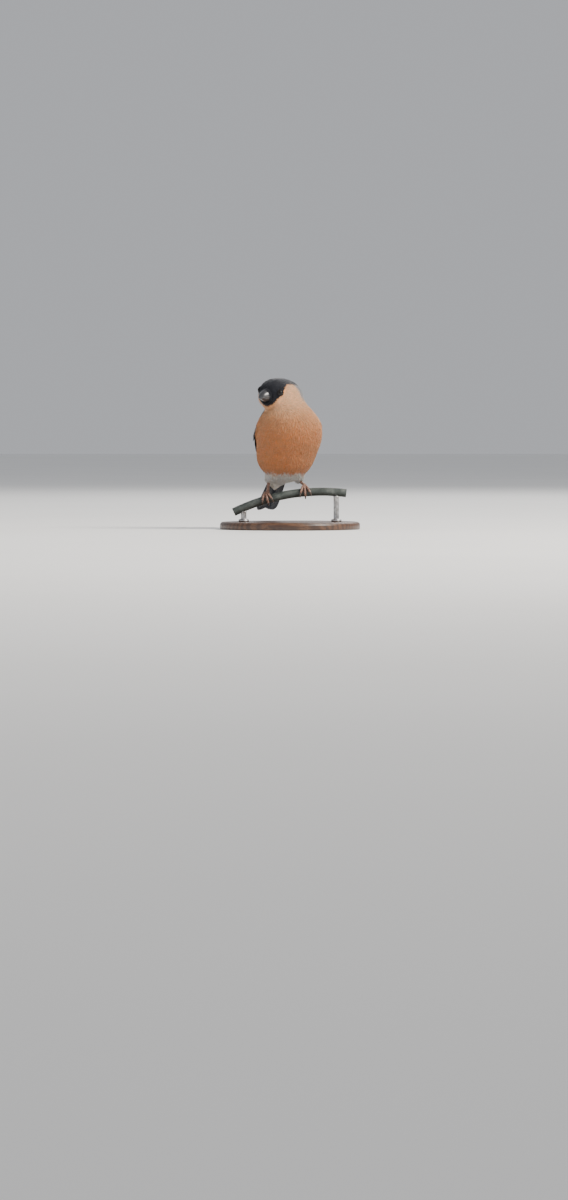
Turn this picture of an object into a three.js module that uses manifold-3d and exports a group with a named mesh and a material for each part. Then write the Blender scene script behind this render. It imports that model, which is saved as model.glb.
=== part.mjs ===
// A male bullfinch, life size, standing on a short length of bent steel rod held by a plain display stand.
// Millimetres, +Z up. The origin is the middle of the stand's underside, and the photograph looks along +Y.
import * as THREE from "three";
import { mergeVertices } from "three/addons/utils/BufferGeometryUtils.js";
import Module from "manifold-3d";

const wasm = await Module();
wasm.setup();
const rad = THREE.MathUtils.degToRad;
const vec = (x, y, z) => new THREE.Vector3(x, y, z);

// Driving sizes: the space kept between pieces that touch, the steel rod and the stand
const GAP = 0.3;
const ROD_RADIUS = 3.3;
const ROD_BEND = 160;
const ROD_APEX_X = 25.6;
const ROD_HEIGHT = 28;
const ROD_HALF_LENGTH = 45;
const BASE_RADIUS = 56;
const BASE_THICKNESS = 6;
const POST_RADIUS = 2.2;
const POST_X = 37;

// Driving sizes: how the bird stands on the rod
const BIRD_X = -1.8;
const BODY_TURN = 12;
const FOOT_X = { left: 11.8, right: -18 };
const BODY_TILT = 52;

// Driving sizes: the head, which looks back over the bird's right side
const HEAD_CENTRE = vec(-11.1, -7, 80.6);
const HEAD_TURN = -47;
const HEAD_NOD = 7;
const HEAD_LEAN = 8;
const EYE_RADIUS = 3;
const EYE_SUNK = 1.9;
const EYE_SPOT = { y: -8.8, z: 2.8 };
const BILL_ROOT = vec(0, -12.4, -1.1);
const BILL_LENGTH = 10.4;
const BILL_WIDTH = 11.2;
const BILL_DEPTH_UPPER = 6.3;
const BILL_DEPTH_LOWER = 4.9;
const NOSTRIL = vec(3.6, -14.6, 3.2);

// Driving sizes: the legs, by the ankle, where the hip and knee lie beside it, and the feathered thigh's radii
const ANKLE = { left: vec(10.6, 8, 11), right: vec(-13.6, 8, 11) };
const HIP = { inwards: 0.76, y: 4, z: 21 };
const KNEE = { inwards: 0.91, y: 6.5, z: 14.5 };
const THIGH_RADII = { hip: 5.8, knee: 3.6, ankle: 2.1 };

// Driving sizes: the shank's radii, its end and the foot's pad above the rod, and the toes. A toe spreads to
// the bird's outside, and it and its claw bend round the rod by angles, to the front (-1) or the back (1).
const SHANK_RADII = [1.4, 1.05, 1.3];
const SHANK_END = vec(0, 0.8, ROD_RADIUS + GAP + 2);
const PAD_PLACE = vec(0, 0.6, ROD_RADIUS + GAP + 1.5);
const PAD_RADIUS = 1.7;
const TOE_RADII = { root: 1.2, end: 0.85 };
const CLAW_RADII = { root: 0.72, end: 0.12 };
const TOES = [
  { spread: -3.4, start: -20, bend: 95, claw: 48, way: -1 },
  { spread: 0.2, start: -20, bend: 128, claw: 58, way: -1 },
  { spread: 4.2, start: -20, bend: 92, claw: 46, way: -1 },
  { spread: 0, start: -5, bend: 88, claw: 66, way: 1 },
];

// Driving sizes: the tail, and the axis that the folded wings lie round, from the shoulders to the wing tips
const TAIL_ROOT = vec(0, 22, 22);
const TAIL_DROOP = 35;
const TAIL_TURN = 4;
const TAIL_LENGTH = 62;
const WING_ROOT = vec(0, -3.5, 57);
const WING_DROOP = 42;
const WING_LENGTH = 73;
const WING_SPAN = { root: 21, tip: 5.2 };
const WING_HEIGHT = { root: 23, tip: 13 };
const FEATHER_THICKNESS = 0.5;
const FEATHER_STEP = 0.8;

// The tiers of the folded wing, from the tip to the wrist, with sizes along and across the wing
const PRIMARIES = {
  count: 5,
  root: 38,
  tips: [70, 73, 71, 66.5, 62],
  low: -1.6,
  spread: 1.9,
  width: 5,
  level: [0.8, 1.5],
};
const SECONDARIES = {
  count: 7,
  root: 24,
  tips: [57, 56, 54, 51, 47, 42, 37],
  low: -0.5,
  spread: 4,
  width: 7.2,
  level: [1.4, 3.6],
};
const GREATER_COVERTS = {
  count: 6,
  root: 13,
  tips: [36, 36, 35, 34, 32, 29],
  low: -1,
  spread: 4.3,
  width: 6.4,
  level: [1.1, 3.9],
};
const MEDIAN_COVERTS = {
  count: 6,
  root: 6,
  tips: [18, 19, 19, 19, 18, 17],
  low: -1,
  spread: 4.2,
  width: 6,
  level: [0.5, 3.2],
};

// The tail: its own feathers from the middle outwards, and the coverts above and below their roots
const TAIL_FEATHERS = { across: [1.2, 3.5, 4.8, 6.1], width: 6.4, notch: 0.9 };
const UPPER_COVERTS = { count: 5, from: 0, reach: 20, spread: 2.6, width: 5, level: [4.8, 2.8] };
const UNDER_COVERTS = { count: 5, from: 7, reach: 30, spread: 2.4, width: 5, level: [-6.6, -5.6] };

// Fields: each gives how far a point lies outside a rounded form
function egg(centre, radii, tilt = 0) {
  const c = Math.cos(rad(tilt));
  const s = Math.sin(rad(tilt));
  return (p) => {
    const y = p.y - centre.y;
    const z = p.z - centre.z;
    const q = vec(p.x - centre.x, -c * y + s * z, s * y + c * z);
    const k0 = q.divide(radii).length();
    const k1 = q.divide(radii).length();
    return (k0 * (k0 - 1)) / Math.max(k1, 1e-6);
  };
}

function taper(a, b, radiusA, radiusB) {
  const along = b.clone().sub(a);
  return (p) => {
    const from = p.clone().sub(a);
    const h = THREE.MathUtils.clamp(from.dot(along) / along.lengthSq(), 0, 1);
    return from.addScaledVector(along, -h).length() - THREE.MathUtils.lerp(radiusA, radiusB, h);
  };
}

function soft(k, first, ...others) {
  return (p) =>
    others.reduce((d, field) => {
      const e = field(p);
      const h = Math.max(k - Math.abs(d - e), 0) / k;
      return Math.min(d, e) - (h * h * k) / 4;
    }, first(p));
}

function slope(field, p) {
  const e = 0.05;
  return vec(
    field(vec(p.x + e, p.y, p.z)) - field(vec(p.x - e, p.y, p.z)),
    field(vec(p.x, p.y + e, p.z)) - field(vec(p.x, p.y - e, p.z)),
    field(vec(p.x, p.y, p.z + e)) - field(vec(p.x, p.y, p.z - e)),
  ).divideScalar(2 * e);
}

// A closed surface where a field is zero: one point in each cell that it crosses, joined round each crossed edge
function skinOf(field, low, high, cell) {
  const n = high.clone().sub(low).divideScalar(cell).ceil();
  const at = (i, j, k) => (k * (n.y + 1) + j) * (n.x + 1) + i;
  const value = new Float32Array((n.x + 1) * (n.y + 1) * (n.z + 1));
  const corner = (i, j, k) => vec(i, j, k).multiplyScalar(cell).add(low);
  for (let k = 0; k <= n.z; k++)
    for (let j = 0; j <= n.y; j++)
      for (let i = 0; i <= n.x; i++) value[at(i, j, k)] = field(corner(i, j, k));
  const corners = [0, 1, 2, 3, 4, 5, 6, 7].map((c) => [c & 1, (c >> 1) & 1, c >> 2]);
  const points = [];
  const pointOf = new Map();
  for (let k = 0; k < n.z; k++)
    for (let j = 0; j < n.y; j++)
      for (let i = 0; i < n.x; i++) {
        const d = corners.map(([a, b, c]) => value[at(i + a, j + b, k + c)]);
        if (d.every((v) => v < 0) || d.every((v) => v >= 0)) continue;
        const middle = vec(0, 0, 0);
        let crossings = 0;
        for (let a = 0; a < 8; a++)
          for (const step of [1, 2, 4]) {
            const b = a | step;
            if (a === b || d[a] < 0 === d[b] < 0) continue;
            const t = d[a] / (d[a] - d[b]);
            middle.add(vec(...corners[a]).lerp(vec(...corners[b]), t));
            crossings++;
          }
        const p = middle.divideScalar(crossings).add(vec(i, j, k)).multiplyScalar(cell).add(low);
        for (let pass = 0; pass < 2; pass++) {
          const g = slope(field, p);
          p.addScaledVector(g, -field(p) / Math.max(g.lengthSq(), 0.2));
        }
        pointOf.set(at(i, j, k), points.length);
        points.push(p);
      }
  const faces = [];
  const axes = [
    [1, 0, 0],
    [0, 1, 0],
    [0, 0, 1],
  ];
  for (let k = 1; k < n.z; k++)
    for (let j = 1; j < n.y; j++)
      for (let i = 1; i < n.x; i++)
        axes.forEach((u, axis) => {
          const inside = value[at(i, j, k)] < 0;
          if (inside === value[at(i + u[0], j + u[1], k + u[2])] < 0) return;
          const v = axes[(axis + 1) % 3];
          const w = axes[(axis + 2) % 3];
          const around = [
            [0, 0],
            [1, 0],
            [1, 1],
            [0, 1],
          ].map(([a, b]) =>
            pointOf.get(at(i - a * v[0] - b * w[0], j - a * v[1] - b * w[1], k - a * v[2] - b * w[2])),
          );
          const [a, b, c, d] = inside ? around : around.reverse();
          const shortFirst = points[a].distanceTo(points[c]) < points[b].distanceTo(points[d]);
          faces.push(...(shortFirst ? [a, b, c, a, c, d] : [a, b, d, b, c, d]));
        });
  return geometryOf(points, faces);
}

function geometryOf(points, faces) {
  const geometry = new THREE.BufferGeometry().setFromPoints(points);
  geometry.setIndex(faces);
  return geometry;
}

// Closed meshes to solids that can be joined and cut, turned to face outwards
function solidOf(geometry) {
  const bare = geometry.clone();
  bare.deleteAttribute("normal");
  bare.deleteAttribute("uv");
  const merged = mergeVertices(bare, 1e-4);
  const vertProperties = new Float32Array(merged.attributes.position.array);
  const triVerts = new Uint32Array(merged.index.array);
  const made = new wasm.Manifold(new wasm.Mesh({ numProp: 3, vertProperties, triVerts }));
  if (made.volume() > 0) return made;
  return new wasm.Manifold(new wasm.Mesh({ numProp: 3, vertProperties, triVerts: triVerts.reverse() }));
}

const largest = (solid) => solid.decompose().reduce((a, b) => (b.volume() > a.volume() ? b : a));
const join = (solids) => solids.reduce((a, b) => a.add(b));

function node(name, solid, colour, roughness, metalness = 0) {
  const made = largest(solid).getMesh();
  const step = made.numProp;
  const points = [];
  for (let i = 0; i < made.vertProperties.length; i += step)
    points.push(vec(...made.vertProperties.subarray(i, i + 3)));
  const geometry = geometryOf(points, [...made.triVerts]);
  geometry.computeVertexNormals();
  const material = new THREE.MeshStandardMaterial({ color: colour, roughness, metalness });
  const mesh = new THREE.Mesh(geometry, material);
  mesh.name = name;
  return mesh;
}

// A slab that fills one side of a plane, for parting a body
function halfSpace(point, normal, gap = GAP / 2) {
  const side = 300;
  const box = new THREE.BoxGeometry(side, side, side);
  box.translate(0, 0, side / 2 + gap);
  box.applyQuaternion(new THREE.Quaternion().setFromUnitVectors(vec(0, 0, 1), normal.clone().normalize()));
  box.translate(point.x, point.y, point.z);
  return solidOf(box);
}

// A tube that tapers along a list of points, closed at both ends
function taperedTube(points, radii, sides, flatten = 1) {
  const rings = points.map((p, i) => {
    const ahead = points[Math.min(i + 1, points.length - 1)];
    const behind = points[Math.max(i - 1, 0)];
    const t = ahead.clone().sub(behind).normalize();
    const side = vec(1, 0.001, 0).addScaledVector(t, -t.x).normalize();
    const up = t.clone().cross(side);
    return Array.from({ length: sides }, (_, s) => {
      const a = (2 * Math.PI * s) / sides;
      return p
        .clone()
        .addScaledVector(side, radii[i] * Math.cos(a))
        .addScaledVector(up, radii[i] * flatten * Math.sin(a));
    });
  });
  const all = rings.flat();
  const start = all.push(points[0].clone()) - 1;
  const end = all.push(points.at(-1).clone()) - 1;
  const faces = [];
  for (let s = 0; s < sides; s++) {
    const next = (s + 1) % sides;
    for (let i = 0; i + 1 < rings.length; i++) {
      const [a, b] = [i * sides + s, i * sides + next];
      faces.push(a, b, b + sides, a, b + sides, a + sides);
    }
    const last = (rings.length - 1) * sides;
    faces.push(start, next, s, end, last + s, last + next);
  }
  return geometryOf(all, faces);
}

// A thin sheet between an inner and an outer surface over a grid, split alike on both faces
function sheet(alongSteps, acrossSteps, place) {
  const points = [];
  for (const face of [0, 1])
    for (let i = 0; i <= alongSteps; i++)
      for (let j = 0; j <= acrossSteps; j++) points.push(place(i / alongSteps, j / acrossSteps, face));
  const row = acrossSteps + 1;
  const layer = row * (alongSteps + 1);
  const faces = [];
  for (let i = 0; i < alongSteps; i++)
    for (let j = 0; j < acrossSteps; j++) {
      const a = i * row + j;
      const quad = [a, a + 1, a + row + 1, a, a + row + 1, a + row];
      faces.push(...quad, ...quad.map((q) => q + layer).reverse());
    }
  const rim = [];
  for (let j = 0; j < acrossSteps; j++) rim.push([j + 1, j]);
  for (let i = 0; i < alongSteps; i++) rim.push([i * row, (i + 1) * row]);
  for (let j = 0; j < acrossSteps; j++) rim.push([alongSteps * row + j, alongSteps * row + j + 1]);
  for (let i = alongSteps; i > 0; i--) rim.push([i * row + acrossSteps, (i - 1) * row + acrossSteps]);
  for (const [a, b] of rim) faces.push(a, b, b + layer, a, b + layer, a + layer);
  return geometryOf(points, faces);
}

// The body without its turned head
const torsoField = soft(
  8,
  egg(vec(0, -2, 42), vec(24.6, 33, 22), BODY_TILT),
  egg(vec(0, -7, 50), vec(24.8, 20, 19), BODY_TILT),
  egg(vec(-3.4, -2, 28), vec(20.4, 17, 15)),
  taper(vec(0, 12, 37), TAIL_ROOT.clone().add(vec(0, 4, -1)), 13, 7.5),
  taper(vec(0, 3, 22), vec(0, 31, 11), 11, 4.6),
);

// The head in its own frame, looking along -Y
const headField = soft(
  4,
  egg(vec(0, 1.2, 0.2), vec(12.4, 15, 11)),
  egg(vec(0, -2, 2.4), vec(11.4, 11.5, 8.2)),
  egg(vec(6.2, -2.5, -4.4), vec(6.8, 8.6, 7.6)),
  egg(vec(-6.2, -2.5, -4.4), vec(6.8, 8.6, 7.6)),
  egg(vec(0, -8, -3.4), vec(6.8, 6.6, 7.4)),
);
const headPlace = new THREE.Matrix4()
  .makeRotationFromEuler(new THREE.Euler(rad(HEAD_NOD), rad(HEAD_LEAN), rad(HEAD_TURN), "ZXY"))
  .setPosition(HEAD_CENTRE);
const toHead = headPlace.clone().invert();
const neckField = taper(vec(-2, -2, 76.5), vec(-0.5, -4, 58), 14, 20.4);
const bodyField = soft(6, torsoField, neckField, (p) => headField(p.clone().applyMatrix4(toHead)));
const headSurface = (p) => bodyField(p.clone().applyMatrix4(headPlace));

// The planes that part the body
const neckPlane = { point: vec(-1, -4, 66), normal: vec(-0.1, -0.12, 1) };
const headPlane = { point: vec(-5, -3, 74), normal: vec(-0.22, -0.28, 1) };
const tailTurned = (v) => v.applyAxisAngle(vec(0, 0, 1), rad(TAIL_TURN));
const tailAlong = tailTurned(vec(0, Math.cos(rad(TAIL_DROOP)), -Math.sin(rad(TAIL_DROOP))));
const tailUp = tailTurned(vec(0, Math.sin(rad(TAIL_DROOP)), Math.cos(rad(TAIL_DROOP))));
const tailSide = tailTurned(vec(1, 0, 0));
const tailPlane = { point: TAIL_ROOT.clone().addScaledVector(tailAlong, 4), normal: tailAlong };
const part = (solid, plane) => solid.subtract(halfSpace(plane.point, plane.normal, -GAP / 2));
const keep = (solid, plane) => solid.intersect(halfSpace(plane.point, plane.normal, GAP / 2));

const BODY_LOW = vec(-34, -40, 0);
const BODY_HIGH = vec(34, 44, 100);
const BODY_CELL = 3.6;
const HEAD_CELL = 2.5;
const whole = solidOf(skinOf(bodyField, BODY_LOW, BODY_HIGH, BODY_CELL));
const aboveNeck = (p) => Math.max(bodyField(p), headPlane.point.clone().sub(p).dot(headPlane.normal) - 3);
const fineHead = solidOf(skinOf(aboveNeck, vec(-36, -34, 58), vec(24, 24, 98), HEAD_CELL));

// Eyes in their sockets, each with a ring of lid round it
function eyeOf(side) {
  const from = vec(side * 30, EYE_SPOT.y, EYE_SPOT.z);
  const p = from.clone();
  while (headSurface(p) > 0.01) p.x -= side * Math.max(headSurface(p) * 0.8, 0.01);
  const out = slope(headSurface, p).normalize();
  const centre = p.clone().addScaledVector(out, -EYE_SUNK);
  return { centre, out, rim: Math.sqrt(EYE_RADIUS ** 2 - EYE_SUNK ** 2) };
}

function ball(centre, radius, sides = 14) {
  const geometry = new THREE.SphereGeometry(radius, sides, Math.round(sides * 0.65));
  geometry.translate(centre.x, centre.y, centre.z);
  return geometry;
}

function lidOf({ centre, out, rim }) {
  const ring = new THREE.TorusGeometry(rim + 0.75, 0.6, 5, 14);
  ring.applyQuaternion(new THREE.Quaternion().setFromUnitVectors(vec(0, 0, 1), out));
  const place = centre.clone().addScaledVector(out, EYE_SUNK - 0.15);
  ring.translate(place.x, place.y, place.z);
  return ring;
}

// The bill: two swollen cones that meet along the line of the mouth
function billHalf(upper, grow = 0) {
  const rings = 9;
  const sides = 10;
  const points = [];
  const depth = upper ? BILL_DEPTH_UPPER : BILL_DEPTH_LOWER;
  const length = upper ? BILL_LENGTH : BILL_LENGTH - 1.6;
  for (let i = 0; i <= rings; i++) {
    const t = i / rings;
    const swell = (1 - t ** 2.6) ** 0.62;
    const width = (BILL_WIDTH / 2) * swell * (1 - 0.16 * t) + grow;
    const height = depth * swell * (1 - 0.1 * t) + 2 * grow;
    const hook = upper ? 1.1 * t ** 4 : -0.6;
    const y = BILL_ROOT.y + 3 + grow - (length + 3 + grow) * t;
    for (let s = 0; s <= sides; s++) {
      const a = (Math.PI * s) / sides;
      const z = BILL_ROOT.z + (upper ? 1 : -1) * (GAP / 2 - grow) - hook;
      const lift = Math.sin(a) ** 0.85 * height * (upper ? 1 : -1);
      points.push(vec(width * Math.cos(a) + 0.05 * Math.cos(a), y, z + lift));
    }
  }
  const row = sides + 1;
  const faces = [];
  for (let i = 0; i < rings; i++)
    for (let s = 0; s < row; s++) {
      const next = (s + 1) % row;
      const [a, b] = [i * row + s, i * row + next];
      faces.push(a, b, b + row, a, b + row, a + row);
    }
  for (let s = 1; s + 1 < row; s++) {
    faces.push(0, s + 1, s);
    const tip = rings * row;
    faces.push(tip, tip + s, tip + s + 1);
  }
  if (!upper) faces.reverse();
  return geometryOf(points, faces);
}

// A feather: a thin vane over a chart, sunk at its root, with one edge raised over its neighbour
const VANE_ROWS = [0, 0.3, 0.62, 0.88, 1];
const VANE_SHAPE = [0.5, 0.9, 1, 0.8, 0.3];
function vane(chart, root, tip, width, level, tilt) {
  const rows = VANE_ROWS.length - 1;
  return solidOf(
    sheet(rows, 2, (u, v, face) => {
      const t = VANE_ROWS[Math.round(u * rows)];
      const breadth = VANE_SHAPE[Math.round(u * rows)] * width;
      const a = THREE.MathUtils.lerp(root[0], tip[0], t) + (v === 0.5 ? 0.04 * width * t : 0);
      const b = THREE.MathUtils.lerp(root[1], tip[1], t) + (v - 0.5) * breadth;
      const lean = tilt * (0.5 - v) * (breadth / width) * Math.min(1, 4 * t);
      const rise = THREE.MathUtils.lerp(level[0], level[1], t);
      return chart(a, b, rise + lean + face * FEATHER_THICKNESS * (1 - 0.2 * t));
    }),
  );
}

// The folded wing lies round an axis: a runs along it to the tip, and b up from the side towards the back
const wingAlong = vec(0, Math.cos(rad(WING_DROOP)), -Math.sin(rad(WING_DROOP)));
const wingUp = vec(0, Math.sin(rad(WING_DROOP)), Math.cos(rad(WING_DROOP)));
function wingSection(a) {
  const u = THREE.MathUtils.clamp(a / WING_LENGTH, 0, 1);
  return [
    THREE.MathUtils.lerp(WING_SPAN.root, WING_SPAN.tip, u),
    THREE.MathUtils.lerp(WING_HEIGHT.root, WING_HEIGHT.tip, u),
  ];
}
function rearField(p) {
  const from = p.clone().sub(WING_ROOT);
  const [wide, high] = wingSection(from.dot(wingAlong));
  return (Math.hypot(from.x / wide, from.dot(wingUp) / high) - 1) * Math.min(wide, high);
}
const carrier = soft(6, torsoField, rearField);
function wingPoint(a, b, level) {
  const [wide, high] = wingSection(a);
  const turn = Math.PI / 2 - b / high;
  const out = wingUp.clone().multiplyScalar(high * Math.cos(turn)).setX(wide * Math.sin(turn)).normalize();
  const centre = WING_ROOT.clone().addScaledVector(wingAlong, a);
  let r = 40;
  for (let step = 0; step < 60; step++) {
    const d = carrier(centre.clone().addScaledVector(out, r));
    if (d < 0.01) break;
    r -= Math.max(d * 0.7, 0.02);
  }
  return centre.addScaledVector(out, r + level);
}

// The flesh of the wing under its feathers, thin at both ends
const WING_CORE_LENGTH = 60;
function wingCore(chart) {
  return solidOf(
    sheet(9, 5, (u, v, face) => {
      const a = THREE.MathUtils.lerp(2, WING_CORE_LENGTH, u);
      const low = THREE.MathUtils.lerp(-4, -1.5, u);
      const high = 25 * Math.sqrt(Math.max(1 - ((u - 0.3) / 0.78) ** 2, 0.02));
      const round = 1 - 0.5 * Math.abs(2 * v - 1) ** 5;
      const top = (0.5 + 1.7 * Math.sin(Math.PI * Math.min(1, 0.12 + 0.9 * u))) * round;
      return chart(a, THREE.MathUtils.lerp(low, high, v), face ? top : -1.2 + 1.0 * u);
    }),
  );
}

// A tier's feathers draw together towards the wing tip, and none lies quite as its neighbour does
const TIP_CLOSING = 0.72;
const SWAY = 0.25;
function tier(chart, { count, root, tips, low, spread, width, level }) {
  const tilt = (FEATHER_STEP * width) / spread;
  return Array.from({ length: count }, (_, i) => {
    const sway = SWAY * Math.sin(5.1 * i + root);
    const atRoot = low + i * spread + sway;
    const closing = THREE.MathUtils.lerp(1, TIP_CLOSING, tips[i] / WING_LENGTH);
    const atTip = low + i * spread * closing + sway;
    return vane(chart, [root, atRoot], [tips[i], atTip], width, level, tilt);
  });
}
function wing(side) {
  const chart = (a, b, level) => {
    const p = wingPoint(a, b, level);
    return p.setX(side * p.x);
  };
  const tiers = [PRIMARIES, SECONDARIES, GREATER_COVERTS, MEDIAN_COVERTS].flatMap((t) => tier(chart, t));
  return join([wingCore(chart), ...tiers]);
}

// The tail's chart runs along the tail, across it and up from it
const tailChart = (a, b, level) =>
  TAIL_ROOT.clone().addScaledVector(tailAlong, a).addScaledVector(tailSide, b).addScaledVector(tailUp, level);
function tailFeathers() {
  const { across, width, notch } = TAIL_FEATHERS;
  const vanes = [];
  for (const side of [1, -1])
    across.forEach((offset, i) => {
      const level = -i * FEATHER_STEP + (i === 0 && side > 0 ? FEATHER_STEP : 0);
      const length = TAIL_LENGTH - notch * (1 - i / (across.length - 1));
      const tip = [length, side * offset];
      vanes.push(vane(tailChart, [-2, side * offset * 0.85], tip, width, [level, level], 0));
    });
  for (const [coverts, lift] of [
    [UPPER_COVERTS, 1],
    [UNDER_COVERTS, -1],
  ])
    for (let i = 0; i < coverts.count; i++) {
      const k = i - (coverts.count - 1) / 2;
      const level = coverts.level.map((l) => l - lift * Math.abs(k) * FEATHER_STEP);
      const across = k * coverts.spread;
      const tip = [coverts.reach - 1.6 * Math.abs(k), across];
      vanes.push(vane(tailChart, [coverts.from, across], tip, coverts.width, level, 0));
    }
  return vanes;
}

// The rod's centre line
const rodLine = (x) => {
  const a = Math.asin((x - ROD_APEX_X) / ROD_BEND);
  const apex = ROD_HEIGHT + ROD_BEND - Math.sqrt(ROD_BEND ** 2 - ROD_APEX_X ** 2);
  return vec(ROD_APEX_X + ROD_BEND * Math.sin(a), 0, apex - ROD_BEND + ROD_BEND * Math.cos(a));
};

const birdPlace = new THREE.Matrix4()
  .makeRotationZ(rad(BODY_TURN))
  .setPosition(BIRD_X, 0, ROD_HEIGHT);

// A foot: three toes over the front of the rod and one behind it, each with its claw
const TOE_STEPS = 4;
const CLAW_STEPS = 3;
function footOf(side, x) {
  const reach = ROD_RADIUS + GAP + 1.1;
  const roundRod = (across, way, turn, r) =>
    vec(across, way * r * Math.sin(rad(turn)), r * Math.cos(rad(turn)));
  const toe = ({ spread, start, bend, claw, way }) => {
    const line = [];
    const radii = [];
    for (let i = 0; i <= TOE_STEPS; i++) {
      const t = i / TOE_STEPS;
      const joints = 0.25 * Math.sin(t * Math.PI * 3) ** 2;
      const r = reach + (i === 0 ? 0.35 : 0) + joints;
      line.push(roundRod(side * spread * t, way, THREE.MathUtils.lerp(start, bend, t), r));
      radii.push(THREE.MathUtils.lerp(TOE_RADII.root, TOE_RADII.end, t));
    }
    const clawLine = [];
    const clawRadii = [];
    for (let i = 0; i <= CLAW_STEPS; i++) {
      const t = i / CLAW_STEPS;
      const turn = THREE.MathUtils.lerp(bend - 8, bend + claw, t);
      const r = reach + 0.25 + 0.5 * Math.sin(t * Math.PI);
      clawLine.push(roundRod(side * spread * (1 + 0.25 * t), way, turn, r));
      clawRadii.push(THREE.MathUtils.lerp(CLAW_RADII.root, CLAW_RADII.end, t));
    }
    return solidOf(taperedTube(line, radii, 5)).add(solidOf(taperedTube(clawLine, clawRadii, 4)));
  };
  const toes = join([solidOf(ball(PAD_PLACE, PAD_RADIUS, 8)), ...TOES.map(toe)]);
  return { toes, centre: rodLine(x), lean: Math.asin((x - ROD_APEX_X) / ROD_BEND) };
}

const ROD_COLOUR = "#4b5452";
const SKIN_COLOUR = "#c8704a";
const WHITE_COLOUR = "#e4e0d6";
const BLACK_COLOUR = "#15161a";
const LEG_COLOUR = "#8a6557";
const WOOD_COLOUR = "#5b3a22";

const bird = new THREE.Group();
bird.position.set(BIRD_X, 0, ROD_HEIGHT);
bird.rotation.z = rad(BODY_TURN);

const torso = part(part(whole, neckPlane), tailPlane);
const neck = part(keep(whole, neckPlane), headPlane);
const eyes = { right: eyeOf(-1), left: eyeOf(1) };
let head = keep(fineHead, headPlane);
for (const eye of Object.values(eyes)) {
  const socket = ball(eye.centre, EYE_RADIUS + GAP).applyMatrix4(headPlace);
  head = head.add(solidOf(lidOf(eye).applyMatrix4(headPlace))).subtract(solidOf(socket));
}
const billRoom = (upper) => solidOf(billHalf(upper, GAP).applyMatrix4(headPlace));
head = head.subtract(billRoom(true)).subtract(billRoom(false));
bird.add(node("torso", torso, SKIN_COLOUR, 0.9));
bird.add(node("neck", neck, SKIN_COLOUR, 0.9));
bird.add(node("head", head, BLACK_COLOUR, 0.6));

const face = new THREE.Group();
face.position.copy(HEAD_CENTRE);
face.rotation.set(rad(HEAD_NOD), rad(HEAD_LEAN), rad(HEAD_TURN), "ZXY");
for (const [side, eye] of Object.entries(eyes))
  face.add(node("eye_" + side, solidOf(ball(eye.centre, EYE_RADIUS)), "#120c09", 0.1));
const nostrils = [1, -1].map((side) => solidOf(ball(NOSTRIL.clone().setX(side * NOSTRIL.x), 0.7, 8)));
const upperBill = solidOf(billHalf(true)).subtract(join(nostrils));
face.add(node("bill_upper", upperBill, "#22242a", 0.35));
const lowerBill = solidOf(billHalf(false)).subtract(solidOf(billHalf(true, GAP)));
face.add(node("bill_lower", lowerBill, "#22242a", 0.35));
bird.add(face);

const grownBody = solidOf(skinOf((p) => bodyField(p) - GAP, BODY_LOW, BODY_HIGH, BODY_CELL));
bird.add(node("wing_left", wing(1).subtract(grownBody), BLACK_COLOUR, 0.5));
bird.add(node("wing_right", wing(-1).subtract(grownBody), BLACK_COLOUR, 0.5));
const tailStub = keep(whole, tailPlane);
const tail = join([tailStub, ...tailFeathers()]);
bird.add(node("tail", keep(tail, tailPlane), BLACK_COLOUR, 0.5));

const group = new THREE.Group();
group.add(bird);

// Legs, in the stand's frame because the feet follow the rod
const grownTorso = grownBody.transform(birdPlace.elements.slice());
for (const [name, side] of [
  ["left", 1],
  ["right", -1],
]) {
  const foot = footOf(side, FOOT_X[name]);
  const local = ANKLE[name];
  const hip = vec(local.x * HIP.inwards, HIP.y, HIP.z);
  const knee = vec(local.x * KNEE.inwards, KNEE.y, KNEE.z);
  const thighField = soft(
    3,
    taper(hip, knee, THIGH_RADII.hip, THIGH_RADII.knee),
    taper(knee, local, THIGH_RADII.knee, THIGH_RADII.ankle),
  );
  const thighMesh = skinOf(thighField, vec(local.x - 12, -8, 4), vec(local.x + 12, 18, 34), 2.6);
  const ankle = local.clone().applyMatrix4(birdPlace);
  const step = foot.centre.clone().add(SHANK_END);
  const inside = ankle.clone().lerp(step, -0.35);
  const middle = ankle.clone().lerp(step, 0.55);
  const shank = solidOf(taperedTube([inside, middle, step], SHANK_RADII, 8));
  const deeper = inside.clone().lerp(ankle, -0.2);
  const roomRadii = SHANK_RADII.map((r) => r + GAP + 0.05);
  const grownShank = solidOf(taperedTube([deeper, middle, step], roomRadii, 8));
  const padPlace = foot.centre.clone().add(PAD_PLACE);
  const lean = THREE.MathUtils.radToDeg(foot.lean);
  const toes = foot.toes.rotate([0, lean, 0]).translate([foot.centre.x, foot.centre.y, foot.centre.z]);
  const thigh = solidOf(thighMesh.applyMatrix4(birdPlace)).subtract(grownTorso).subtract(grownShank);
  const padRoom = solidOf(ball(padPlace, PAD_RADIUS + GAP + 0.05, 8));
  group.add(node("thigh_" + name, thigh, WHITE_COLOUR, 0.9));
  group.add(node("tarsus_" + name, shank.subtract(padRoom).subtract(grownTorso), LEG_COLOUR, 0.55));
  group.add(node("foot_" + name, toes.subtract(grownShank), LEG_COLOUR, 0.55));
}

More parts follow.
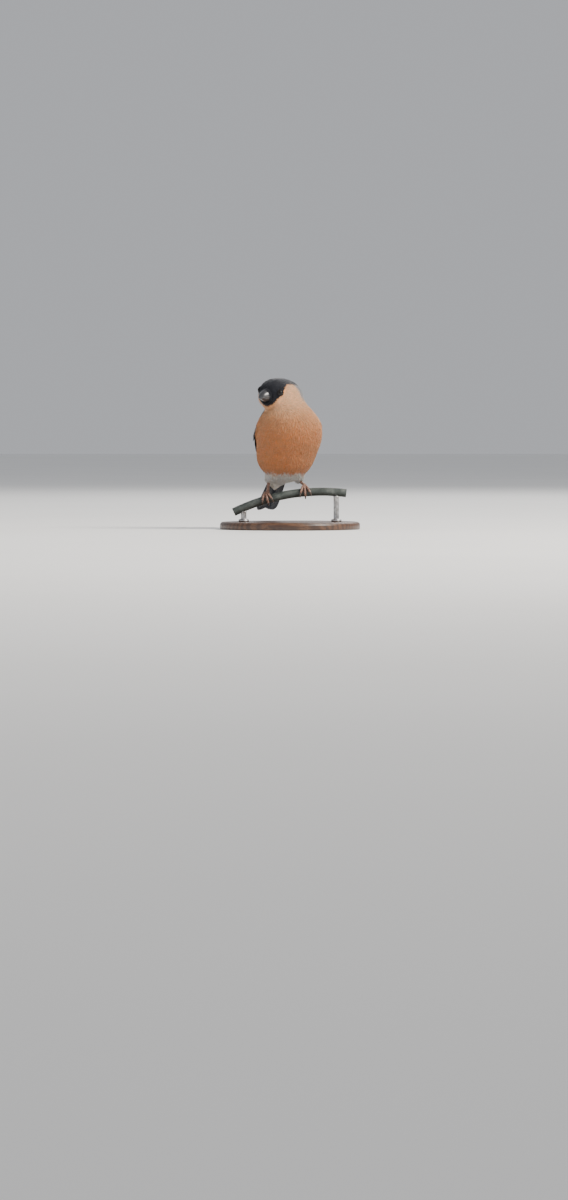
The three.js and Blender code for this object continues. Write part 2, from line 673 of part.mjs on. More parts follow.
// The rod and its stand
const rodPoints = [];
const rodSteps = 12;
for (let i = 0; i <= rodSteps; i++)
  rodPoints.push(rodLine(THREE.MathUtils.lerp(-ROD_HALF_LENGTH, ROD_HALF_LENGTH, i / rodSteps)));
const rodCurve = new THREE.CatmullRomCurve3(rodPoints);
function rodSolid(radius) {
  const section = new THREE.Shape().absarc(0, 0, radius, 0, 2 * Math.PI);
  const options = { steps: rodSteps, curveSegments: 6, extrudePath: rodCurve, bevelEnabled: false };
  return solidOf(new THREE.ExtrudeGeometry(section, options));
}
group.add(node("perch_rod", rodSolid(ROD_RADIUS), ROD_COLOUR, 0.6, 0.4));
const rimProfile = [
  [0, 0],
  [BASE_RADIUS - 1, 0],
  [BASE_RADIUS, 1],
  [BASE_RADIUS, BASE_THICKNESS - 2.5],
  [BASE_RADIUS - 0.8, BASE_THICKNESS - 0.8],
  [BASE_RADIUS - 2.5, BASE_THICKNESS],
  [0, BASE_THICKNESS],
].map(([x, y]) => new THREE.Vector2(x, y));
const disc = new THREE.LatheGeometry(rimProfile, 32).rotateX(Math.PI / 2);
group.add(node("stand_base", solidOf(disc), WOOD_COLOUR, 0.5));
for (const [name, x] of [
  ["left", -POST_X],
  ["right", POST_X],
]) {
  const top = rodLine(x).z - ROD_RADIUS + 0.6;
  const bottom = BASE_THICKNESS + GAP;
  const post = new THREE.CylinderGeometry(POST_RADIUS, POST_RADIUS, top - bottom, 16).rotateX(Math.PI / 2);
  post.translate(x, 0, (top + bottom) / 2);
  const seat = solidOf(post).subtract(rodSolid(ROD_RADIUS + GAP));
  group.add(node("stand_post_" + name, seat, "#8d8f90", 0.35, 0.9));
}

export default group;
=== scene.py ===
import math

import bpy
import numpy as np
from mathutils import Matrix, Vector, kdtree


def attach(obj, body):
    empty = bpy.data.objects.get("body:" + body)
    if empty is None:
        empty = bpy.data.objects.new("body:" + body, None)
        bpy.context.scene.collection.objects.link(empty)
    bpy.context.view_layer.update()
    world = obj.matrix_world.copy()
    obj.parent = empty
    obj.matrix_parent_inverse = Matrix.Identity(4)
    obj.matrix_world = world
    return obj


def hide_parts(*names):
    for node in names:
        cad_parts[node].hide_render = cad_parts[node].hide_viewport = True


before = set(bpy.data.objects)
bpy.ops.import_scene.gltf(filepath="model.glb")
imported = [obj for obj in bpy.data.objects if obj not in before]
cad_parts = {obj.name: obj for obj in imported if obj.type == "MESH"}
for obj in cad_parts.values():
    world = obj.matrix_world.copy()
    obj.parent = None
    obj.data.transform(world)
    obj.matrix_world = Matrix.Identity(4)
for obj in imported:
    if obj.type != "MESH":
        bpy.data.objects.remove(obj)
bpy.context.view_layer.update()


# The camera: a long lens three and a half metres in front of the bird, a little above the rod.
# It looks slightly down, so that the bird stands in the upper middle of a tall frame.
VIEW_DISTANCE = 3.5
VIEW_HEIGHT = 0.075
VIEW_AIM = Vector((-0.0048, 0.0, -0.0566))
VIEW_TALL = 0.96
VIEW_NEAREST = 0.05
VIEW_FARTHEST = 60
SENSOR_WIDTH = 36


def placed(name, data):
    """A new object of the scene, at the origin."""
    made = bpy.data.objects.new(name, data)
    bpy.context.scene.collection.objects.link(made)
    return made


camera_data = bpy.data.cameras.new("camera")
camera = placed("camera", camera_data)
camera.location = (VIEW_AIM.x, -VIEW_DISTANCE, VIEW_HEIGHT)
towards = VIEW_AIM - camera.location
camera.rotation_euler = towards.to_track_quat("-Z", "Y").to_euler()
camera_data.sensor_width = SENSOR_WIDTH
camera_data.lens = SENSOR_WIDTH * towards.length / VIEW_TALL
camera_data.clip_start = VIEW_NEAREST
camera_data.clip_end = VIEW_FARTHEST
bpy.context.scene.camera = camera


# The stand's base: a disc of walnut, turned on a lathe with an eased rim, stained dark and waxed.
# The bottom edge has a small chamfer, so the disc stands on its flat underside.
BASE_RADIUS = 0.056
BASE_THICKNESS = 0.006
BASE_SEGMENTS = 160
RIM_ROUND = 0.0026
GRAIN_TURN = 0.35
BASE_DARK = (0.060, 0.027, 0.013)
BASE_LIGHT = (0.125, 0.060, 0.028)


def mesh_piece(name, points, faces, material, slot, uv_maps=None, colours=None):
    """A mesh from arrays: points in metres, faces as arrays of like polygons, maps and colours by point."""
    mesh = bpy.data.meshes.new(name)
    sizes = np.concatenate([np.full(len(f), f.shape[1]) for f in faces])
    corners = np.concatenate([f.ravel() for f in faces]).astype(np.int32)
    mesh.vertices.add(len(points))
    mesh.vertices.foreach_set("co", np.ascontiguousarray(points, np.float32).ravel())
    mesh.loops.add(len(corners))
    mesh.loops.foreach_set("vertex_index", corners)
    mesh.polygons.add(len(sizes))
    starts = np.concatenate([[0], np.cumsum(sizes)[:-1]]).astype(np.int32)
    mesh.polygons.foreach_set("loop_start", starts)
    mesh.update(calc_edges=True)
    mesh.polygons.foreach_set("use_smooth", np.ones(len(sizes), bool))
    for map_name, uv in (uv_maps or {}).items():
        layer = mesh.uv_layers.new(name=map_name)
        layer.data.foreach_set("uv", uv[corners].astype(np.float32).ravel())
    if colours is not None:
        layer = mesh.color_attributes.new("plumage", "FLOAT_COLOR", "POINT")
        rgba = np.concatenate([colours, np.ones((len(colours), 1))], 1)
        layer.data.foreach_set("color", rgba.astype(np.float32).ravel())
    mesh.materials.append(material)
    piece = placed(name, mesh)
    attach(piece, "root")
    return piece


def new_material(name, **sockets):
    """A Principled material with its plain sockets set, its tree and its Object coordinates."""
    made = bpy.data.materials.new(name)
    made.use_nodes = True
    tree = made.node_tree
    for socket, value in sockets.items():
        tree.nodes["Principled BSDF"].inputs[socket.replace("_", " ")].default_value = value
    return made, tree, tree.nodes.new("ShaderNodeTexCoord").outputs["Object"]


def add_node(tree, kind, settings=None, **inputs):
    """A node with its settings; an input takes a value or the output that feeds it."""
    made = tree.nodes.new(kind)
    for key, value in (settings or {}).items():
        setattr(made, key, value)
    for key, value in inputs.items():
        place = int(key[2:]) if key.startswith("at") else key.replace("_", " ")
        if isinstance(value, bpy.types.NodeSocket):
            tree.links.new(value, made.inputs[place])
        else:
            made.inputs[place].default_value = value
    return made


def noise(tree, place, scale, detail, **more):
    """The grey value of a noise."""
    sized = dict(Vector=place, Scale=scale, Detail=detail, **more)
    return add_node(tree, "ShaderNodeTexNoise", **sized).outputs["Fac"]


def bands(tree, place, direction, **sizes):
    """The grey value of wavy bands across a direction."""
    settings = {"bands_direction": direction}
    return add_node(tree, "ShaderNodeTexWave", settings, Vector=place, **sizes).outputs["Fac"]


def stretched(tree, place, scale, turn=0.0):
    """Coordinates turned round Z and scaled along each axis."""
    return add_node(tree, "ShaderNodeMapping", Vector=place, Scale=scale, Rotation=(0, 0, turn)).outputs[0]


def ramp(tree, factor, *stops):
    """A colour ramp with stops of (place, colour)."""
    made = add_node(tree, "ShaderNodeValToRGB", at0=factor)
    elements = made.color_ramp.elements
    while len(elements) < len(stops):
        elements.new(0.5)
    for element, (place, colour) in zip(elements, stops):
        element.position = place
        element.color = (*colour, 1)
    return made.outputs["Color"]


def mixed(tree, factor, first, second, blend="MIX"):
    """A colour mix of two colours or outputs."""
    settings = {"data_type": "RGBA", "blend_type": blend}
    return add_node(tree, "ShaderNodeMix", settings, at0=factor, at6=first, at7=second).outputs[2]


def product(tree, colour, *others):
    """Colours multiplied with one another."""
    for other in others:
        colour = mixed(tree, 1.0, colour, other, "MULTIPLY")
    return colour


def dress(tree, tone, rough=None, relief=None):
    """Feed the shader a colour, a roughness (source, low, high) and a relief (source, strength, depth)."""
    sockets = tree.nodes["Principled BSDF"].inputs
    tree.links.new(tone, sockets["Base Color"])
    if rough:
        source, low, high = rough
        spread = add_node(tree, "ShaderNodeMapRange", Value=source, at3=low, at4=high)
        tree.links.new(spread.outputs[0], sockets["Roughness"])
    if relief:
        source, strength, depth = relief
        bump = add_node(tree, "ShaderNodeBump", Strength=strength, Distance=depth, Height=source)
        tree.links.new(bump.outputs[0], sockets["Normal"])


def turned(profile, segments):
    """Points and faces of a profile of (radius, height) turned round Z, from the axis back to the axis."""
    turn = np.linspace(0, 2 * np.pi, segments, endpoint=False)
    radius, height = np.array(profile[1:-1], float).T[..., None]
    rings = np.stack([radius * np.cos(turn), radius * np.sin(turn), height + 0 * turn], -1)
    points = np.concatenate([rings.reshape(-1, 3), [[0, 0, profile[0][1]], [0, 0, profile[-1][1]]]])
    here = np.arange(len(rings) * segments).reshape(-1, segments)
    after = np.roll(here, -1, 1)
    quads = np.stack([here[:-1], after[:-1], after[1:], here[1:]], -1).reshape(-1, 4)
    bottom = np.stack([after[0], here[0], np.full(segments, len(points) - 2)], 1)
    top = np.stack([here[-1], after[-1], np.full(segments, len(points) - 1)], 1)
    return points, [quads, np.concatenate([bottom, top])]


walnut, tree, place = new_material("waxed_walnut", Coat_Weight=0.35, Coat_Roughness=0.22)
along = stretched(tree, place, (14, 95, 95), GRAIN_TURN)
warp = noise(tree, along, 0.7, 5, Distortion=0.8)
rings = bands(tree, along, "Y", Scale=0.9, Distortion=7, Detail=4, Detail_Scale=1.2)
pore = noise(tree, stretched(tree, place, (90, 1700, 1700), GRAIN_TURN), 1, 3)
grain = ramp(tree, rings, (0.15, BASE_DARK), (0.85, BASE_LIGHT))
shade = ramp(tree, warp, (0.3, (0.55, 0.5, 0.47)), (0.75, (1.15, 1.1, 1.05)))
dashes = ramp(tree, pore, (0.36, (0.35, 0.3, 0.28)), (0.46, (1, 1, 1)))
dress(tree, product(tree, grain, shade, dashes), (warp, 0.38, 0.56), (pore, 0.35, 0.0002))

base_profile = [(0, 0), (0.030, 0), (BASE_RADIUS - 0.001, 0), (BASE_RADIUS - 0.0003, 0.0003)]
base_profile += [(BASE_RADIUS, 0.001), (BASE_RADIUS, BASE_THICKNESS - RIM_ROUND)]
for step in range(1, 9):
    turn = math.radians(90 * step / 8)
    rim = BASE_RADIUS - RIM_ROUND * (1 - math.cos(turn))
    base_profile.append((rim, BASE_THICKNESS - RIM_ROUND * (1 - math.sin(turn))))
base_profile += [(BASE_RADIUS - 0.004, BASE_THICKNESS), (0.025, BASE_THICKNESS), (0, BASE_THICKNESS)]
base = mesh_piece("base_disc", *turned(base_profile, BASE_SEGMENTS), walnut, "stand_wood")
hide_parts("stand_base")


# The two posts: round brushed steel bar, screwed into the base from below and standing in small
# turned collars. Their tops are saddled to the rod, and soldered to it with a thin fillet.
POST_RADIUS = 0.0022
POST_X = 0.037
POST_SEGMENTS = 48
COLLAR_RADIUS = 0.0042
COLLAR_HEIGHT = 0.0022
ROD_RADIUS = 0.0033
ROD_BEND = 0.160
ROD_APEX_X = 0.0256
ROD_HEIGHT = 0.028
ROD_HALF_LENGTH = 0.045


def rod_height(x):
    """The height of the rod's centre line, an arc whose highest point lies right of the middle."""
    apex = ROD_HEIGHT + ROD_BEND - math.sqrt(ROD_BEND**2 - ROD_APEX_X**2)
    return apex - ROD_BEND + math.sqrt(ROD_BEND**2 - (x - ROD_APEX_X) ** 2)


brushed, tree, place = new_material("brushed_steel", Metallic=1.0, Anisotropic=0.5)
brush = noise(tree, stretched(tree, place, (350, 350, 5200)), 1, 3)
stain = noise(tree, place, 420, 5)
tone = ramp(tree, stain, (0.35, (0.30, 0.29, 0.28)), (0.7, (0.55, 0.55, 0.56)))
dress(tree, tone, (brush, 0.22, 0.46), (brush, 0.25, 0.00008))

for name, x in (("left", -POST_X), ("right", POST_X)):
    foot = BASE_THICKNESS + 0.00005
    tall = rod_height(x) - ROD_RADIUS + 0.0003 - foot
    profile = [(0, 0), (COLLAR_RADIUS - 0.0003, 0), (COLLAR_RADIUS, 0.0003)]
    profile += [(COLLAR_RADIUS, COLLAR_HEIGHT * 0.6), (COLLAR_RADIUS - 0.0004, COLLAR_HEIGHT * 0.86)]
    profile += [(COLLAR_RADIUS - 0.0010, COLLAR_HEIGHT), (POST_RADIUS + 0.00005, COLLAR_HEIGHT)]
    profile += [(POST_RADIUS, COLLAR_HEIGHT + 0.0002)]
    profile += [(POST_RADIUS, tall * k) for k in (0.35, 0.55, 0.75, 0.9)]
    profile += [(POST_RADIUS + 0.00015, tall * 0.96), (POST_RADIUS + 0.0004, tall), (0, tall)]
    points, faces = turned(profile, POST_SEGMENTS)
    points += [x, 0, foot]
    post = mesh_piece("post_" + name, points, faces, brushed, "stand_steel")
    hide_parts("stand_post_" + name)


# The rod: a cut length of bent round steel bar with its old grey-green paint weathered and pitted.
# It's one sweep along its arc, with sawn ends.
ROD_SIDES = 40
ROD_STEPS = 90


def cells(tree, place, scale):
    """How far a place lies from the middle of its cell, in a pattern of uneven cells."""
    return add_node(tree, "ShaderNodeTexVoronoi", Vector=place, Scale=scale).outputs["Distance"]


def math_of(tree, operation, first, *second):
    """The result of a calculation on outputs or numbers."""
    given = {"at%d" % i: value for i, value in enumerate((first, *second))}
    return add_node(tree, "ShaderNodeMath", {"operation": operation}, **given).outputs[0]


weathered, tree, place = new_material("weathered_paint", Metallic=0.15)
cloud = noise(tree, place, 160, 8, Roughness=0.62)
old_paint = ((0.30, (0.030, 0.038, 0.034)), (0.52, (0.062, 0.074, 0.068)), (0.72, (0.135, 0.150, 0.138)))
rust = ramp(tree, noise(tree, place, 1500, 4), (0.66, (0, 0, 0)), (0.74, (1, 1, 1)))
rust_part = math_of(tree, "MULTIPLY", rust, 0.55)
tone = mixed(tree, rust_part, ramp(tree, cloud, *old_paint), (0.085, 0.040, 0.020, 1))
pit = ramp(tree, cells(tree, place, 900), (0.0, (0, 0, 0)), (0.25, (1, 1, 1)))
dress(tree, tone, (cloud, 0.36, 0.72), (mixed(tree, 0.35, cloud, pit), 0.6, 0.0004))

rod_tree = bpy.data.node_groups.new("bar_along_arc", "GeometryNodeTree")
sockets = {"Geometry": "Geometry", "Start": "Vector", "Middle": "Vector", "End": "Vector"}
sockets.update({"Radius": "Float", "Steps": "Int", "Sides": "Int", "Material": "Material"})
for name, kind in sockets.items():
    rod_tree.interface.new_socket(name, in_out="INPUT", socket_type="NodeSocket" + kind)
rod_tree.interface.new_socket("Geometry", in_out="OUTPUT", socket_type="NodeSocketGeometry")
given = rod_tree.nodes.new("NodeGroupInput").outputs
arc_sizes = dict(Start=given["Start"], Middle=given["Middle"], End=given["End"], Resolution=given["Steps"])
arc = add_node(rod_tree, "GeometryNodeCurveArc", {"mode": "POINTS"}, **arc_sizes)
ring_sizes = dict(Resolution=given["Sides"], Radius=given["Radius"])
ring = add_node(rod_tree, "GeometryNodeCurvePrimitiveCircle", **ring_sizes)
curves = dict(Curve=arc.outputs["Curve"], Profile_Curve=ring.outputs["Curve"])
swept = add_node(rod_tree, "GeometryNodeCurveToMesh", Fill_Caps=True, **curves)
merged = add_node(rod_tree, "GeometryNodeMergeByDistance", Geometry=swept.outputs[0], Distance=1e-6)
real = add_node(rod_tree, "GeometryNodeRealizeInstances", Geometry=merged.outputs[0])
coated = dict(Geometry=real.outputs[0], Material=given["Material"])
painted = add_node(rod_tree, "GeometryNodeSetMaterial", **coated)
rod_tree.links.new(painted.outputs[0], rod_tree.nodes.new("NodeGroupOutput").inputs[0])

rod = placed("rod_bar", bpy.data.meshes.new("rod_bar"))
modifier = rod.modifiers.new("make", "NODES")
modifier.node_group = rod_tree
rod_sizes = {"Radius": ROD_RADIUS, "Steps": ROD_STEPS, "Sides": ROD_SIDES, "Material": weathered}
for name, x in (("Start", -ROD_HALF_LENGTH), ("Middle", 0.0), ("End", ROD_HALF_LENGTH)):
    rod_sizes[name] = (x, 0.0, rod_height(x))
for item in rod_tree.interface.items_tree:
    if item.in_out == "INPUT" and item.name in rod_sizes:
        modifier[item.identifier] = rod_sizes[item.name]
graph = bpy.context.evaluated_depsgraph_get()
rod_mesh = bpy.data.meshes.new_from_object(rod.evaluated_get(graph))
rod.modifiers.remove(modifier)
rod.data = rod_mesh
rod_mesh.polygons.foreach_set("use_smooth", [len(p.vertices) == 4 for p in rod_mesh.polygons])
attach(rod, "root")
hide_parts("perch_rod")


# The bird's skin: one closed hide over body, neck, head and thighs, hidden almost everywhere by the coat.
# Sizes are the bird's own, in millimetres, x to its left, y to its back and z up from the rod's middle.
# It has the coat's markings: black cap, rose cheeks and breast, slate back, white rump and vent; the rose's
# paleness towards the top is painted light.
BIRD_X = -1.8
BODY_TURN = math.radians(12)
BODY_TILT = math.radians(52)
HEAD_CENTRE = np.array([-11.1, -7.0, 80.6])
HEAD_TURN = math.radians(-47)
HEAD_NOD = math.radians(7)
HEAD_LEAN = math.radians(8)
BILL_ROOT = np.array([0, -12.4, -1.1])
ANKLES = {"left": np.array([10.6, 8, 11.0]), "right": np.array([-13.6, 8, 11.0])}
TAIL_ROOT = np.array([0.0, 22.0, 22.0])
WING_ROOT = np.array([0, -3.5, 57.0])
WING_DROOP = math.radians(42)
WING_LENGTH = 73.0
WING_ALONG = np.array([0, math.cos(WING_DROOP), -math.sin(WING_DROOP)])
WING_UP = np.array([0, math.sin(WING_DROOP), math.cos(WING_DROOP)])
WING_HALF_WIDTHS = (21, 5.2)
WING_HALF_HEIGHTS = (23, 13)
SKIN_CELL = 1.0
CAP_EDGE = ((0, -9.6), (12, -8.6), (26, -6.2), (34, -3.6), (41, -1.2), (48, 0.3), (54, 2.8), (61, 5.4))
CAP_EDGE += ((70, 7.2), (80, 8.2), (100, 8.0), (120, 7.2), (150, 5.2), (180, 3.4))
ROSE = np.array([0.620, 0.180, 0.036])
# The next colour is painted light: the rose as if lit from above, laid over the head and the upper breast.
ROSE_PAINTED_LIGHT = np.array([0.860, 0.470, 0.235])
BLACK = np.array([0.0085, 0.0090, 0.0125])
WHITE = np.array([0.80, 0.765, 0.70])
SLATE = np.array([0.190, 0.212, 0.240])


def smooth(low, high, value):
    """0 below low, 1 above high, and an even turn between them."""
    t = np.clip((value - low) / (high - low), 0, 1)
    return t * t * (3 - 2 * t)


def between(first, second, share):
    """A value that goes from the first to the second with its share."""
    return first + (second - first) * share


def unit(v):
    """Vectors brought to length one."""
    return v / np.maximum(np.linalg.norm(v, axis=-1, keepdims=True), 1e-9)


def egg(centre, radii, tilt=0.0):
    """How far points lie outside an ellipsoid."""
    c = math.cos(tilt)
    s = math.sin(tilt)

    def field(p):
        x, y, z = np.moveaxis(p - np.array(centre, float), -1, 0)
        q = np.stack([x, -c * y + s * z, s * y + c * z], -1) / radii
        k0 = np.linalg.norm(q, axis=-1)
        k1 = np.linalg.norm(q / radii, axis=-1)
        return k0 * (k0 - 1) / np.maximum(k1, 1e-6)

    return field


def taper(start, end, start_radius, end_radius):
    """How far points lie outside a round cone between two points."""
    start = np.array(start, float)
    span = np.array(end, float) - start

    def field(p):
        off = p - start
        h = np.clip(off @ span / (span @ span), 0, 1)
        radius = between(start_radius, end_radius, h)
        return np.linalg.norm(off - h[..., None] * span, axis=-1) - radius

    return field


def joined(reach, *fields):
    """Fields melted together where they come within reach of each other."""

    def field(p):
        d = fields[0](p)
        for other in fields[1:]:
            e = other(p)
            h = np.maximum(reach - abs(d - e), 0) / reach
            d = np.minimum(d, e) - h * h * reach / 4
        return d

    return field


def slope(field, p, step=0.05):
    """The direction in which a field grows, and how fast."""
    ends = [(field(p + step * axis) - field(p - step * axis)) / (2 * step) for axis in np.eye(3)]
    return np.stack(ends, -1)


def drawn(p, field, level=0.0):
    """Points moved along a field's slope to where it reaches a level."""
    grad = slope(field, p)
    return p - grad * ((field(p) - level) / np.maximum((grad**2).sum(-1), 0.2))[:, None]


nod_and_lean = Matrix.Rotation(HEAD_NOD, 3, "X") @ Matrix.Rotation(HEAD_LEAN, 3, "Y")
HEAD_FRAME = np.array(Matrix.Rotation(HEAD_TURN, 3, "Z") @ nod_and_lean)


def to_head(p):
    """Bird points in the head's frame, which looks along -y."""
    return (p - HEAD_CENTRE) @ HEAD_FRAME


def from_head(q):
    """Head points in the bird's frame."""
    return q @ HEAD_FRAME.T + HEAD_CENTRE


def to_stand(p):
    """Bird millimetres to metres in the stand's frame."""
    c = math.cos(BODY_TURN)
    s = math.sin(BODY_TURN)
    x, y, z = np.moveaxis(np.asarray(p, float), -1, 0)
    return np.stack([BIRD_X + c * x - s * y, s * x + c * y, 1000 * ROD_HEIGHT + z], -1) / 1000


torso_field = joined(
    8,
    egg((0, -2, 42), (24.6, 33, 22), BODY_TILT),
    egg((0, -7, 50), (24.8, 20, 19), BODY_TILT),
    egg((-3.4, -2, 28), (20.4, 17, 15)),
    taper((0, 12, 37), TAIL_ROOT + [0, 4, -1], 13, 7.5),
    taper((0, 3, 22), (0, 31, 11), 11, 4.6),
)
head_shape = joined(
    4,
    egg((0, 1.2, 0.2), (12.4, 15, 11)),
    egg((0, -2, 2.4), (11.4, 11.5, 8.2)),
    egg((6.2, -2.5, -4.4), (6.8, 8.6, 7.6)),
    egg((-6.2, -2.5, -4.4), (6.8, 8.6, 7.6)),
    egg((0, -8, -3.4), (6.8, 6.6, 7.4)),
)
neck_field = taper((-2, -2, 76.5), (-0.5, -4, 58), 14, 20.4)
flesh_field = joined(6, torso_field, neck_field, lambda p: head_shape(to_head(p)))


def thigh_field(side):
    """The feathered thigh, from the belly to the ankle."""
    ankle = ANKLES[side]
    knee = (ankle[0] * 0.91, 6.5, 14.5)
    return joined(3, taper((ankle[0] * 0.76, 4, 21), knee, 5.8, 3.6), taper(knee, ankle, 3.6, 2.1))


coat_field = joined(3, flesh_field, thigh_field("left"), thigh_field("right"))


def on_head(p):
    """1 on the head, 0 on the body, turning over the neck."""
    return smooth(-7, 4, (p - [-5, -3, 74]) @ unit(np.array([-0.22, -0.28, 1])))


def coat_depth(p):
    """How deep the skin lies under the tips of the coat."""
    head_depth = 0.7 + 0.7 * smooth(5, 14, np.linalg.norm(to_head(p) - BILL_ROOT, axis=-1))
    leg_depth = 2.3 - 1.3 * smooth(17, 11, p[..., 2]) * smooth(6, 9, abs(p[..., 0]))
    return between(leg_depth, head_depth, on_head(p))


def skin_field(p):
    """The hide's own surface, inside the coat."""
    return coat_field(p) + coat_depth(p)


def surface_of(field, low, high, cell):
    """A closed quad surface where a field is zero, one point in each cell that it crosses."""
    low = np.array(low, float)
    count = np.ceil((np.array(high) - low) / cell).astype(int)
    lines = [low[i] + cell * np.arange(count[i] + 1) for i in range(3)]
    value = field(np.stack(np.meshgrid(*lines, indexing="ij"), -1))
    inside = value < 0
    axes = np.eye(3, dtype=int)

    def window(array, offset):
        return array[tuple(slice(o, o + n) for o, n in zip(offset, count))]

    total = np.zeros(tuple(count) + (3,))
    crossings = np.zeros(tuple(count))
    for axis in range(3):
        v, w = (axes[i] for i in range(3) if i != axis)
        for start in (0 * v, w, v, v + w):
            first = window(value, start)
            second = window(value, start + axes[axis])
            crossed = (first < 0) != (second < 0)
            t = np.where(crossed, first / np.where(crossed, first - second, 1), 0)
            total += np.where(crossed[..., None], start + t[..., None] * axes[axis], 0)
            crossings += crossed
    used = crossings > 0
    index = np.full(tuple(count), -1)
    index[used] = np.arange(used.sum())
    points = low + cell * (np.argwhere(used) + total[used] / crossings[used][:, None])
    for _ in range(3):
        points = drawn(points, field)
    quads = []
    near = window(inside, (0, 0, 0))
    for axis in range(3):
        v = axes[(axis + 1) % 3]
        w = axes[(axis + 2) % 3]
        edges = np.argwhere(near != window(inside, axes[axis]))
        edges = edges[(edges @ v > 0) & (edges @ w > 0)]
        around = [index[tuple((edges - a * v - b * w).T)] for a, b in ((0, 0), (1, 0), (1, 1), (0, 1))]
        quad = np.stack(around, 1)
        quads.append(np.where(near[tuple(edges.T)][:, None], quad, quad[:, ::-1]))
    return points, np.concatenate(quads)


def wing_section(along):
    """The half width and height of the rounded form that the wing lies on, by place along it."""
    u = np.clip(along / WING_LENGTH, 0, 1)
    return between(*WING_HALF_WIDTHS, u), between(*WING_HALF_HEIGHTS, u)


def wing_place(p):
    """How far along the folded wing a point lies, and how far up from the wing's lower edge."""
    off = p - WING_ROOT
    along_wing = off @ WING_ALONG
    wide, high = wing_section(along_wing)
    turn = np.arctan2(abs(off[..., 0]) / wide, off @ WING_UP / high)
    return along_wing, high * (np.pi / 2 - turn)


def plumage(p, softness=0.5):
    """The bird's markings by place, with painted light that makes the rose paler towards the top."""
    x, y, z = np.moveaxis(p, -1, 0)
    q = to_head(p)
    head = on_head(p)
    bearing = np.degrees(np.arctan2(abs(q[..., 0]), -(q[..., 1] - 1.5)))
    edge = np.interp(bearing, *np.array(CAP_EDGE).T)
    black = smooth(-softness, softness, q[..., 2] - edge) * head
    body_bearing = np.degrees(np.arctan2(abs(x), -(y - 1)))
    along_wing, up_wing = wing_place(p)
    body_back = smooth(98, 110, body_bearing) * smooth(20, 30, z) * smooth(-1, 3, up_wing)
    slate = between(body_back, smooth(111, 125, bearing), head)
    torn = 1.2 * np.sin(0.8 * x + 0.6) + 0.8 * np.sin(1.9 * x)
    rump = smooth(36.5, 41, along_wing + torn) * smooth(12, 16, y) * smooth(18, 24, z)
    leg = smooth(5, 8, abs(x)) * smooth(1, 4, y)
    ragged = 0.7 * np.sin(0.55 * x + 1.1) + 0.5 * np.sin(1.35 * x + 0.4)
    vent = smooth(17.4, 14.2, z + ragged - 0.55 * np.maximum(y - 4, 0) - 2.0 * leg)
    # Painted light: the rose is made paler on the head and the upper breast, as if lit from above.
    pale = np.clip(0.8 * head + 0.5 * smooth(44, 74, z) * (1 - head), 0, 1)
    colour = ROSE
    for mark, share in ((ROSE_PAINTED_LIGHT, pale), (SLATE, slate), (WHITE, np.maximum(rump, vent)), (BLACK, black)):
        colour = between(colour, mark, share[..., None])
    return colour


def marks(tree):
    """The colours that a piece carries by point."""
    return add_node(tree, "ShaderNodeAttribute", {"attribute_name": "plumage"}).outputs["Color"]


hide, tree, place = new_material("hide", Roughness=0.85)
fine = noise(tree, place, 2600, 4)
dim = ramp(tree, fine, (0.3, (0.60, 0.58, 0.56)), (0.7, (0.95, 0.94, 0.93)))
dress(tree, product(tree, marks(tree), dim), None, (fine, 0.5, 0.0003))

skin_points, skin_quads = surface_of(skin_field, (-32, -38, 6), (32, 42, 98), SKIN_CELL)
skin_marks = plumage(skin_points)
skin = mesh_piece("skin", to_stand(skin_points), [skin_quads], hide, "breast_feather", colours=skin_marks)
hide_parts("torso", "neck", "head", "thigh_left", "thigh_right")


# The coat: small contour feathers, each a thin curved vane rooted in the hide and lying along the body.
# They grow away from the bill over the head, then down and back to the tail, and are smallest on the face.
# Those in front of the wings stand up a little and lap over the wings' front edges.
COAT_SEED = 7
COAT_CROWD = 2.6
VANE_STATIONS = np.array([0.0, 0.25, 0.5, 0.76, 1.0])
VANE_WIDTHS = np.array([0.5, 0.9, 1.0, 0.74, 0.12])
ROOT_SUNK = 0.3
PATCH = 0.003
HEAD_MIDDLE = from_head(np.array([0.0, 1.0, -1.0]))
BODY_MIDDLE = np.array([0.0, -2.0, 44.0])


def unwrap(p, centre):
    """A place on the hide as the direction from a centre, folded flat from an eight-sided solid."""
    d = p - centre
    x, y, z = np.moveaxis(d / abs(d).sum(-1, keepdims=True), -1, 0)
    u = np.where(z >= 0, x, (1 - abs(y)) * np.where(x >= 0, 1, -1))
    v = np.where(z >= 0, y, (1 - abs(x)) * np.where(y >= 0, 1, -1))
    return np.stack([u, v], -1) * 0.49 + 0.5


def lofted(rings):
    """Closed bodies from rings of points, shaped (bodies, rings, points in a ring, 3)."""
    index = np.arange(rings[..., 0].size).reshape(rings.shape[:3])
    after = np.roll(index, -1, axis=2)
    quads = np.stack([index[:, :-1], index[:, 1:], after[:, 1:], after[:, :-1]], -1).reshape(-1, 4)
    return rings.reshape(-1, 3), [quads, np.concatenate([index[:, 0], index[:, -1, ::-1]])]


def lie_of_coat(p):
    """The direction that the feathers point in at a place."""
    over_head = unit(unit(to_head(p) - [0, -13.5, -2.5]) + [0, 0.35, 0]) @ HEAD_FRAME.T
    over_body = np.array([0, math.cos(BODY_TILT), -math.sin(BODY_TILT)])
    leg_share = (smooth(19, 14, p[..., 2]) * smooth(5, 9, abs(p[..., 0])))[..., None]
    body = between(over_body, [0, 0.15, -1], leg_share)
    return unit(between(body, over_head, on_head(p)[..., None]))


def feather_size(p):
    """Length, width and spacing of the contour feathers by place, in millimetres."""
    face = smooth(4, 15, np.linalg.norm(to_head(p) - BILL_ROOT, axis=-1))
    low = smooth(24, 12, p[..., 2])
    leg = smooth(18, 13, p[..., 2]) * smooth(5, 9, abs(p[..., 0]))
    body_sizes = (7.4 + 1.4 * low - 4.4 * leg, 1.02 - 0.10 * low - 0.3 * leg, 0.39 - 0.03 * leg)
    head_sizes = (1.6 + 2.8 * face, 0.36 + 0.46 * face, 0.22 + 0.09 * face)
    head = on_head(p)
    return tuple(between(body, small, head) for body, small in zip(body_sizes, head_sizes))


